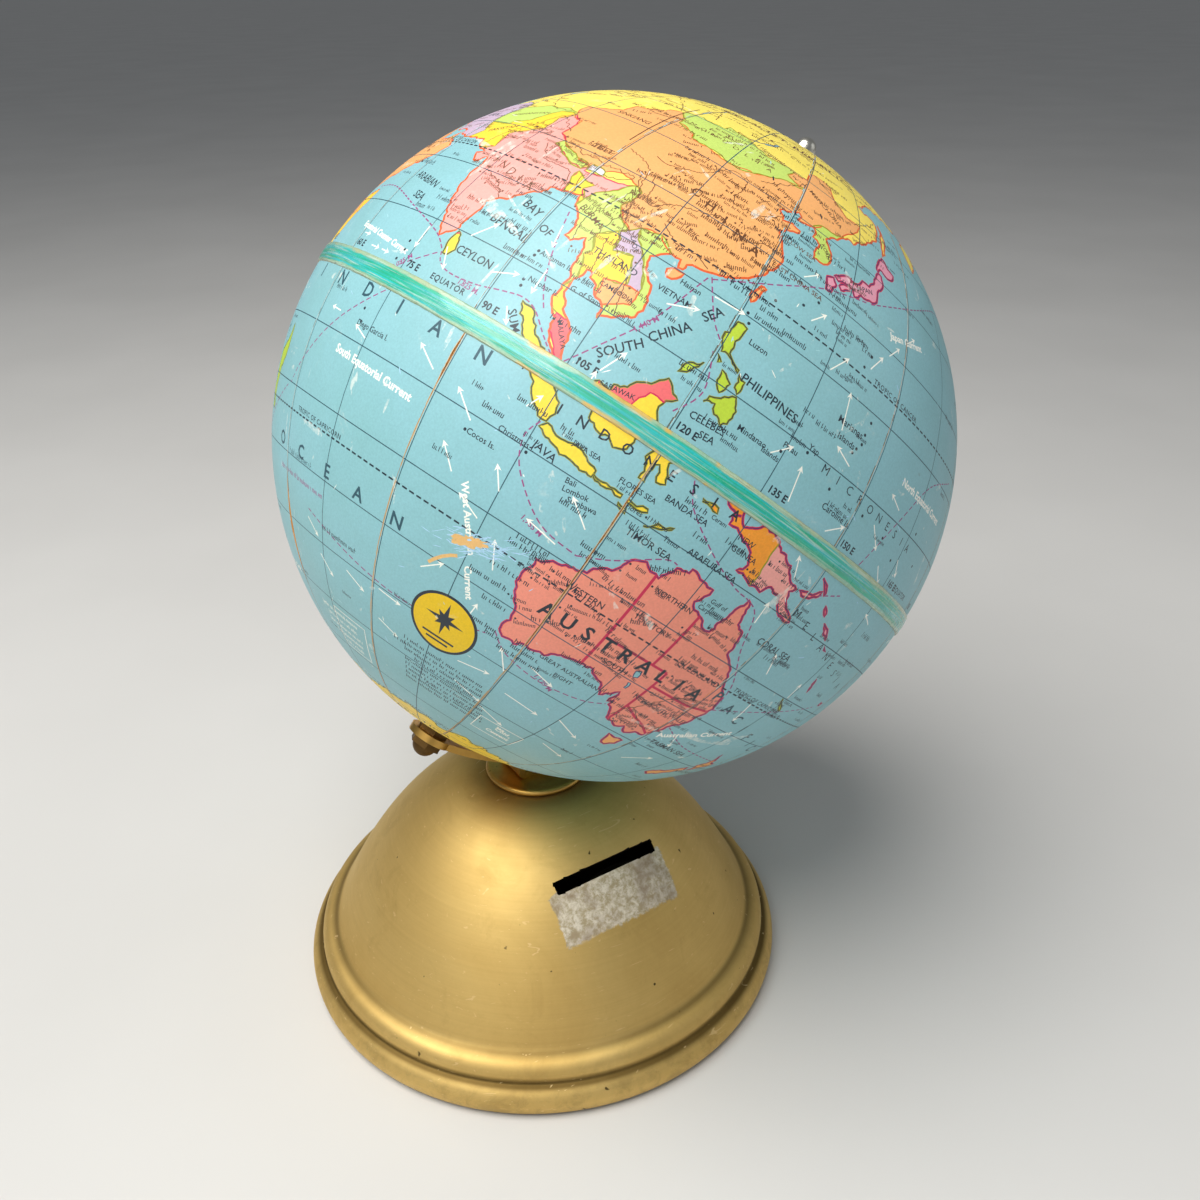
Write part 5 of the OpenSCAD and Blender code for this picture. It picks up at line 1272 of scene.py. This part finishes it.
# Single unreadable names: place, letters and ink.
NOTES = (
    (66, -33, 26, "purple"), (80.4, -37.6, 14, "black"), (66, -29.8, 14, "grid"),
    (112.2, -25.9, 11, "black"), (112.6, -21.9, 10, "black"), (113, -20.8, 9, "black"),
    (109.6, -28.4, 10, "black"), (112.4, -31.2, 7, "black"), (111.4, -35.2, 10, "black"),
    (121, -35.8, 8, "black"), (120.6, -37.2, 12, "black"),
)
ISLETS = (
    (73.2, 5.6), (73.4, 4.2), (73, 2.6), (72.8, 1.4), (92.8, 12.4), (92.7, 11.6), (93.6, 8.1),
    (93.8, 7.2), (71.8, -5.4), (72.4, -7.2), (96.8, -12.2), (105.6, -10.5), (145.8, 15.2), (145.7, 16.6),
    (145.2, 14.2), (144.8, 13.4), (146, 18.6), (134.5, 7.5), (138.1, 9.5), (144, 7.4), (151.8, 7.4),
    (158.2, 6.9), (163, 5.3), (166.9, 11), (171, 7.1), (173, 1.4), (130, 28.4), (127.9, 26.5),
    (123.8, 24.4), (142.2, 27), (141.3, 24.8), (108.2, 4), (106, 3), (121.2, 20.4), (122, 19.2),
)


def small_names():
    """Unreadable names: thick over the lands, thin along coasts and among islands."""
    dice = random.Random(23)
    outlines = [points(text) for _, _, text in LANDS.values()]
    taken = set()
    for west, east, south, north, count in CROWDS:
        for _ in range(count):
            lon, lat = dice.uniform(west, east), dice.uniform(south, north)
            cell = (round(lon / 2.8), round(lat / 1.1))
            land = is_land(lon, lat, outlines)
            if cell in taken or (not land and dice.random() < 0.45) or abs(lat) < 4:
                continue
            if 98 < lon < 113.5 and -45 < lat < -33 or 77 < lon < 95 and -46 < lat < 10:
                continue
            taken.add(cell)
            ink = "brown" if land and lat > 8 else "black"
            size = dice.choice((0.6, 0.66, 0.74, 0.85))
            count = dice.randint(4, 9)
            angle = dice.choice((0, 0, 0, -12, 12, 24)) if land else 0
            small_name(lon, lat, count, size, ink, dice, angle)
            if land and dice.random() < 0.6:
                place_dot(lon - 1.9, lat + 0.2, 0.17, ink)
    for i in range(9):
        small_name(109.2 + 0.5 * i, -46.4 - 1.12 * i, 24 if i != 3 else 18, 0.82, "black", dice)
    for i, count in enumerate((17, 14, 16, 12, 9)):
        small_name(77.2 + i * 0.7, -52.6 - i * 1.5, count, 0.8, "white", dice)
        small_name(129 + i * 0.2, -54 - i * 0.1 - (i > 2) * 2, 3, 0.6, "white", dice)
    for lon, lat, count, ink in NOTES:
        small_name(lon, lat, count, 0.85, ink, dice)
    for lon, lat in ISLETS:
        place_dot(lon, lat, 0.24)


def maker_label():
    """Round yellow label: a plain ring, a compass star and two bars, with no wording."""
    place = line_of_print(106.1, -39.1)
    for radius, rank, ink in ((5.3, LABEL, "black"), (4.85, LABEL_INK, "label")):
        turns = [math.tau * i / 72 for i in range(72)]
        add([place(radius * math.cos(a), radius * math.sin(a)) for a in turns], rank, ink)
    star = []
    for i in range(16):
        a = math.tau * i / 16
        r = 0.95 if i % 2 else (3.1 if i % 4 == 0 else 1.8)
        star.append(place(r * math.cos(a), 0.9 + r * math.sin(a)))
    add(star, WEAR, "black")
    for y, half in ((-2.9, 2.7), (-3.7, 1.9)):
        add([place(-half, y), place(half, y), place(half, y + 0.36), place(-half, y + 0.36)], WEAR, "black")


def worn_places():
    """The torn patch by the label, seeded scratches and rubs, the long cracks, and two white boxes."""
    blob(104.6, -24.9, 3.1, 1.0, WEAR_TOP, "torn", 0.5, 34, 20)
    blob(103.2, -25.5, 1.9, 0.75, WEAR_TOP, "torn", 0.45, 18, 26)
    blob(104.4, -24.7, 0.4, 0.2, WEAR_TOP, "chalk", 0.4, 9, 20)
    ribbon(points("99.8,-31.1 100.6,-30.1 101.6,-29.1 102.8,-28.2 103.8,-27.7"), 0.5, WEAR_TOP, "torn")
    dice = random.Random(5)
    for _ in range(120):
        along, off = dice.gauss(0.8, 2.9), dice.gauss(0, 0.8)
        lon, lat = 105 + 0.94 * along + 0.34 * off, -25.1 + 0.34 * along - 0.94 * off
        long_way, thick = dice.uniform(0.4, 1.7), dice.uniform(0.04, 0.11)
        blob(lon, lat, long_way, thick, WEAR, "chalk", 0.5, 8, dice.uniform(-8, 52))
    for _ in range(420):
        lon, lat = dice.uniform(-180, 180), dice.uniform(-70, 75)
        long_way, thick = dice.uniform(0.15, 0.9), dice.uniform(0.04, 0.1)
        # Some scratches and rubs take the pale ocean ink that is a painted highlight.
        ink = dice.choice(("chalk", "painted_sheen", "white"))
        blob(lon, lat, long_way, thick, WEAR, ink, 0.5, 7, dice.uniform(0, 180))
    for lon, lat in ((125.2, 43.4), (113.6, 44.4), (120.4, 40.2)):
        blob(lon, lat, 0.16, 0.7, WEAR_TOP, "black", 0.3, 10, 20)
    ribbon(points("89.2,35.6 88.9,42 88.3,48 87.8,53.4"), 0.2, WEAR_TOP, "brown")
    for west, south, east, north in ((75.4, -59.4, 87.4, -51.2), (122.6, -57.6, 135.2, -53.0)):
        corners = [(west, north), (east, north), (east, south), (west, south)]
        ribbon(spaced(corners + corners[:1], 2), 0.16, LETTER, "white")


# ---- The ball's paper ---------------------------------------------------------
def on_ball(lon, lat, radius, south):
    """A place on the ball, and its outward direction."""
    a, b = math.radians(lon) + (SOUTH_SHIFT if south else 0), math.radians(lat)
    out = BALL_TURN @ Vector((math.cos(b) * math.cos(a), math.cos(b) * math.sin(a), math.sin(b)))
    return BALL + out * radius, out


def clipped(shape, box):
    """The part of a shape inside a longitude and latitude box."""
    for axis, limit, keep in ((0, box[0], 1), (0, box[1], -1), (1, box[2], 1), (1, box[3], -1)):
        out = []
        for a, b in zip(shape, shape[1:] + shape[:1]):
            ina, inb = (a[axis] - limit) * keep >= 0, (b[axis] - limit) * keep >= 0
            if ina:
                out.append(a)
            if ina != inb:
                t = (limit - a[axis]) / (b[axis] - a[axis])
                out.append((a[0] + (b[0] - a[0]) * t, a[1] + (b[1] - a[1]) * t))
        shape = out
        if len(shape) < 3:
            return []
    return shape


def nearby(box, margin=0.6):
    """Shapes that reach into a box, as printed there, with the world's other copies of them."""
    west, east, south, north = box
    grown = (west - margin, east + margin, south - margin, north + margin)
    found = []
    for shape, rank, ink, lo_lon, hi_lon, lo_lat, hi_lat in SHAPES:
        if hi_lat < grown[2] or lo_lat > grown[3]:
            continue
        for turn in (-360, 0, 360):
            if hi_lon + turn < grown[0] or lo_lon + turn > grown[1]:
                continue
            moved = [(x + turn, y) for x, y in shape] if turn else shape
            if len(moved) > 12:
                moved = clipped(moved, grown)
            if len(moved) > 2:
                found.append((moved, rank, ink))
    return found


def inside(loop, x, y):
    """Which of some points lie inside a closed loop, by counting the sides to the right of each."""
    (ax, ay), (bx, by) = loop[:-1].T[:, :, None], loop[1:].T[:, :, None]
    rise = np.where(by == ay, 1.0, by - ay)
    crossed = ((ay > y) != (by > y)) & (x < (bx - ax) * (y - ay) / rise + ax)
    return np.count_nonzero(crossed, axis=0) % 2 == 1


def printed(domain, shapes, grid):
    """Cuts the domain into triangles of one ink each. Returns points, triangles and each one's ink."""
    verts, faces = [Vector(p) for p in domain], [list(range(len(domain)))]
    for shape, _, _ in shapes:
        faces.append(list(range(len(verts), len(verts) + len(shape))))
        verts += [Vector(p) for p in shape]
    verts += [Vector(p) for p in grid]
    out_verts, _, out_faces, _, _, origin = delaunay_2d_cdt(verts, [], faces, 1, 1e-6)
    cells = np.array([face for face, sources in zip(out_faces, origin) if 0 in sources])
    x, y = np.array([tuple(v) for v in out_verts])[cells].mean(axis=1).T
    order = np.argsort(x)
    cells, x, y = cells[order], x[order], y[order]
    land, rank, ink = np.zeros(len(x), bool), np.full(len(x), -1), np.full(len(x), -1)
    for number in sorted(range(len(shapes)), key=lambda i: shapes[i][1] != LAND):
        shape, level, _ = shapes[number]
        loop = np.array(shape + shape[:1])
        (left, low), (right, high) = loop.min(axis=0), loop.max(axis=0)
        first, last = np.searchsorted(x, (left, right))
        near = slice(first, last)
        asked = (y[near] > low) & (y[near] < high) & (rank[near] <= level)
        if level in LAND_ONLY:
            asked &= land[near]
        asked = np.nonzero(asked)[0] + first
        if len(asked):
            hit = asked[inside(loop, x[asked], y[asked])]
            rank[hit], ink[hit] = level, number
            land[hit] |= level == LAND
    return out_verts, cells.tolist(), [shapes[i][2] if i >= 0 else "ocean" for i in ink]


def seam_gap(lon, lat):
    """Half the open width of a seam, in degrees: a hair, and more where the paper has lifted or torn."""
    gap = 0.035 + 0.02 * noise.noise(Vector((lon * 0.7, lat * 0.8, 3.0)))
    fine = 0.5 + 0.5 * noise.noise(Vector((lon, lat * 3.1, 9.0)))
    if lon % 360 == 90 and -9 < lat < -1.5:
        gap += 0.34 * fine * (1 - abs((lat + 5) / 4.2))
    if lon % 360 == 60 and -51 < lat < -33:
        gap += 0.5 * (1 - abs((lat + 42) / 9.2))
    if lon % 360 == 120 and -34 < lat < -6:
        gap += 0.1 * fine
    return min(0.8, max(0.02, gap / squeeze(lat, 0.2)))


def worn_edge(edge, lon, side, south):
    """Dirt, a painted highlight of pale sheen, or bare card in short stretches along one edge of a gore."""
    worn = south and lon in (90, 120)
    shapes = []
    for a, b in zip(edge[:-2:2], edge[2::2]):
        tone = noise.noise(Vector((lon * 0.31, a[1] * 0.35, 17.0 + side)))
        if tone > (-0.2 if worn else 0.08):
            wide = side * (0.08 + 0.12 * max(0, tone)) / squeeze(a[1], 0.2)
            strip = [a, b, (b[0] + wide, b[1]), (a[0] + wide, a[1])]
            # The pale strips are painted highlight where the paper's cut edge catches the light; the dark ones are dirt
            # in the seam.
            shapes.append((anticlockwise(strip), WEAR, "seam" if worn else "dirt" if tone > 0.3 else "painted_sheen"))
    return shapes


def gore(index, south):
    """One printed paper gore of the northern or southern half, with its cut edge."""
    west = -180 + GORE_WIDTH * index
    east = west + GORE_WIDTH
    sign = -1 if south else 1
    lats = [sign * (0.25 + (CAP_LAT - 0.25) * i / 160) for i in range(161)]
    left = [(west + seam_gap(west, lat), lat) for lat in lats]
    right = [(east - seam_gap(east, lat), lat) for lat in lats]
    top = [(west + GORE_WIDTH * i / 12, lats[-1]) for i in range(1, 12)]
    bottom = [(west + GORE_WIDTH * i / 12, lats[0]) for i in range(1, 12)]
    domain = left + top + right[::-1] + bottom[::-1]
    if not south:
        domain = domain[::-1]
    shapes = nearby((west, east, min(lats), max(lats)))
    shapes += worn_edge(left, west, 1, south) + worn_edge(right, east, -1, south)
    grid = [(west + 1.25 + 2.5 * i, sign * (1.6 + 2.5 * j)) for i in range(12) for j in range(31)]
    flat, faces, inks = printed(domain, shapes, grid)
    verts, normals = [], []
    for p in flat:
        co, out = on_ball(p.x, p.y, BALL_R, south)
        verts.append(co)
        normals.append(out)
    colours = [INKS[name] for name in inks]
    rim = len(verts)
    for lon, lat in domain:
        for radius in (BALL_R, SHELL_R):
            co = on_ball(lon, lat, radius, south)[0]
            verts.append(co)
            normals.append((co - on_ball((west + east) / 2, lat, radius, south)[0]).normalized())
    faces += cut_edge(rim, len(domain))
    colours += [INKS["card"]] * len(domain)
    half = "south" if south else "north"
    return paper_piece(f"gore_{half}_{index + 1:02d}", verts, faces, normals, colours)


def cut_edge(first, count):
    """Faces of the paper's thickness, between pairs of points round a closed edge."""
    at = [first + 2 * i for i in range(count)]
    return [(a, a + 1, b + 1, b) for a, b in zip(at, at[1:] + at[:1])]


def paper_piece(name, verts, faces, normals, colours):
    """A paper mesh with one ink to a face and the ball's own smooth normals."""
    used = sorted({i for face in faces for i in face})
    place = {old: new for new, old in enumerate(used)}
    faces = [tuple(place[i] for i in face) for face in faces]
    piece = mesh_object(name, [verts[i] for i in used], faces)
    mesh = piece.data
    mesh.polygons.foreach_set("use_smooth", [True] * len(mesh.polygons))
    layer = mesh.color_attributes.new("ink", "FLOAT_COLOR", "CORNER")
    values = []
    for polygon, colour in zip(mesh.polygons, colours):
        values += list(colour) * polygon.loop_total
    layer.data.foreach_set("color", values)
    mesh.normals_split_custom_set_from_vertices([tuple(normals[i]) for i in used])
    return piece


def gores():
    """Twelve gores on each half."""
    for south in (False, True):
        for index in range(GORES):
            piece = gore(index, south)
            dress(piece, "map_paper", "globe")
            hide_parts("south_gores" if south else "north_gores")


def polar_paper(south):
    """The round calotte over the gores' tips, with its meridians and slightly uneven rim."""
    limit, sign, count = 90 - CAP_LAT, -1 if south else 1, 96
    dice = random.Random(31 + south)
    rim = [(limit - 0.04 - dice.uniform(0, 0.07)) for _ in range(count)]
    turns = [math.tau * i / count for i in range(count)]
    outer = [(r * math.cos(a), r * math.sin(a)) for r, a in zip(rim, turns)]
    ground = "ice" if south else "ocean"
    shapes = [([(12 * math.cos(a), 12 * math.sin(a)) for a in turns], LAND, ground)]
    for k in range(24):
        a = math.tau * k / 24
        reach = [(r * math.cos(a), r * math.sin(a)) for r in (2.6, 4, 6, 8, 9.9)]
        n = Vector((-math.sin(a), math.cos(a))) * 0.055
        for p, q in zip(reach, reach[1:]):
            stretch = [(p[0] + n.x, p[1] + n.y), (p[0] - n.x, p[1] - n.y),
                       (q[0] - n.x, q[1] - n.y), (q[0] + n.x, q[1] + n.y)]
            shapes.append((anticlockwise(stretch), GRID, "grid"))
    if not south:
        greenland = [(9.7, 1), (9.6, 3.4), (6.9, 2.6), (6.6, 0.4)]
        shapes.append((anticlockwise(greenland), REGION, "yellow"))
    grid = [(r * math.cos(a + r), r * math.sin(a + r)) for r in (3.4, 5, 6.6, 8.3) for a in turns[::3]]
    flat, cells, inks = printed(outer, shapes, grid)

    def on_paper(x, y, radius=BALL_R):
        lon, away = math.degrees(math.atan2(y, x)), math.hypot(x, y)
        return on_ball(lon, sign * (90 - away), radius, south)
    verts, normals, faces, colours = [], [], [], []
    for p in flat:
        co, out = on_paper(p.x, p.y)
        verts.append(co)
        normals.append(out)
    for face, ink in zip(cells, inks):
        middle = sum((flat[i] for i in face), Vector((0, 0))) / len(face)
        if middle.length > POLE_HOLE:
            faces.append(face[::-1] if south else face)
            colours.append(INKS[ink])
    first = len(verts)
    for x, y in outer:
        for radius in (BALL_R, SHELL_R):
            co = on_paper(x, y, radius)[0]
            verts.append(co)
            normals.append((co - BALL - AXLE * (co - BALL).dot(AXLE)).normalized())
    faces += cut_edge(first, count)
    colours += [INKS["card"]] * count
    pole = "south" if south else "north"
    piece = paper_piece(f"{pole}_calotte", verts, faces, normals, colours)
    dress(piece, "map_paper", "globe")
    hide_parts(f"{pole}_polar_paper")


def equator_band():
    """Raised tape over the ball's joint, with a slightly uneven edge and a crowned section."""
    turns, across = 720, 20
    outlines = [points(text) for _, _, text in LANDS.values()]
    verts, strip, side, under = [], [], [], []
    for k in range(turns):
        lon = 360 * k / turns
        a = math.radians(lon)
        ring = Vector((math.cos(a), math.sin(a), 0.0))
        ragged = 1 - 0.05 * abs(noise.noise(ring * 31.0))
        on_land = 1.0 if is_land(lon - 360 if lon > 180 else lon, 0.02, outlines) else 0.0
        for j in range(across + 1):
            t = -1 + 2 * j / across
            crown = math.sqrt(max(0.0, 1 - t * t * 0.96))
            ripple = 0.05 * MM * noise.noise(Vector((ring.x * 22, ring.y * 22, t * 2.5)))
            proud = SHELL_R + (BALL_R + BAND_PROUD - SHELL_R) * min(1.0, 0.55 + 0.45 * crown)
            if j in (0, across):
                proud = SHELL_R
            radius = min(BALL_R + BAND_PROUD, proud + (ripple - 0.05 * MM if 0 < j < across else 0))
            verts.append(BALL + BALL_TURN @ (ring * radius + Vector((0, 0, t * BAND_HALF * ragged))))
            strip.append((ring.x, ring.y, t * 0.35))
            side.append(t)
            under.append(on_land)
    n = across + 1
    faces = []
    for k in range(turns):
        here, after = k * n, (k + 1) % turns * n
        faces += [(here + j, after + j, after + j + 1, here + j + 1) for j in range(across)]
    piece = mesh_object("equator_tape", verts, faces)
    attributes = piece.data.attributes
    along = [c for v in strip for c in v]
    attributes.new("strip", "FLOAT_VECTOR", "POINT").data.foreach_set("vector", along)
    attributes.new("across", "FLOAT", "POINT").data.foreach_set("value", side)
    attributes.new("under", "FLOAT", "POINT").data.foreach_set("value", under)
    smooth(piece, 55)
    dress(piece, "band_tape", "globe")
    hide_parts("equator_band")


# ---- The other parts ------------------------------------------------------------
SLOT_OF = {row["node"]: row["material_slot"] for row in frame["record"]["subparts"]}


SOFT_EDGES = ("support_arm", "arm_bolt", "axle_lock_nut", "axle_acorn_nut", "north_cap_nut",
              "bottom_plate", "coin_plug", "north_washer", "bolt_nut", "dome_washer")


def cad_parts():
    """The turned, folded and threaded parts keep their own shape and take their slot's material; those in SOFT_EDGES
    get softened edges.
    """
    for name, obj in frame["nodes"].items():
        if obj.hide_render:
            continue
        slot = SLOT_OF[name]
        obj.data.materials.clear()
        obj.data.materials.append(MATERIALS[slot])
        if name in SOFT_EDGES:
            bevel = obj.modifiers.new("edges", "BEVEL")
            bevel.width = 0.25 * MM
            bevel.segments = 2
            bevel.limit_method = "ANGLE"
            bevel.angle_limit = math.radians(35)
            bevel.harden_normals = True


# ---- Camera, light and floor ------------------------------------------------------
# The camera's place in millimetres, and the ways it looks and holds upright.
EYE = Vector((-137.88, -245.95, 271.27))
FORWARD, UP = Vector((0.48146, 0.73596, -0.47599)), Vector((0.27196, 0.39083, 0.87937))


def camera():
    """The photograph's point of view."""
    data = bpy.data.cameras.new("camera")
    data.lens, data.sensor_width = 34.98, 36
    data.clip_start, data.clip_end = 0.01, 20
    cam = link(bpy.data.objects.new("camera", data))
    turn = Matrix((FORWARD.cross(UP), UP, -FORWARD)).transposed().to_4x4()
    cam.matrix_world = Matrix.Translation(EYE * MM) @ turn
    bpy.context.scene.camera = cam


def area_light(name, place, aim, size, power, colour):
    """A round soft light aimed at a place."""
    data = bpy.data.lights.new(name, "AREA")
    data.shape, data.size, data.energy, data.color = "DISK", size, power, colour
    lamp = link(bpy.data.objects.new(name, data))
    lamp.location = place
    lamp.rotation_euler = (Vector(aim) - Vector(place)).to_track_quat("-Z", "Y").to_euler()


def studio():
    """A pale floor under soft light from the upper left, as in a studio."""
    world = bpy.data.worlds.new("studio")
    bpy.context.scene.world = world
    world.use_nodes = True
    ground = world.node_tree.nodes["Background"]
    ground.inputs["Color"].default_value = (0.86, 0.9, 0.95, 1)
    ground.inputs["Strength"].default_value = 0.2
    middle = (BALL.x, BALL.y, 0.13)
    area_light("key", (-0.4, -0.05, 1.05), middle, 0.95, 15.0, (1.0, 0.98, 0.95))
    area_light("front", (-0.85, -0.75, 0.7), middle, 1.1, 2.8, (1.0, 0.98, 0.96))
    area_light("side", (0.8, -0.55, 0.45), middle, 0.7, 0.8, (0.95, 0.98, 1.0))
    bpy.ops.mesh.primitive_plane_add(size=60, location=(0, 0, 0))
    floor = bpy.context.object
    floor.name = "floor"
    bpy.context.scene.view_settings.view_transform = "Standard"
    n = Nodes("pale_floor")
    tone = n.noise(6, 3, 0.5)
    base = n.mix(n.ramp(tone, 0.3, 0.7), srgb(212, 211, 208), srgb(206, 205, 202))
    floor.data.materials.append(n.set(Base_Color=base, Roughness=0.7))


def printed_map():
    """Everything that is printed on the ball, in the order in which later marks cover earlier ones."""
    lands()
    graticule()
    words()
    signs()
    small_names()
    maker_label()
    worn_places()


camera()
studio()
printed_map()
gores()
for at_south in (False, True):
    polar_paper(at_south)
equator_band()
bell()
collar()
cad_parts()
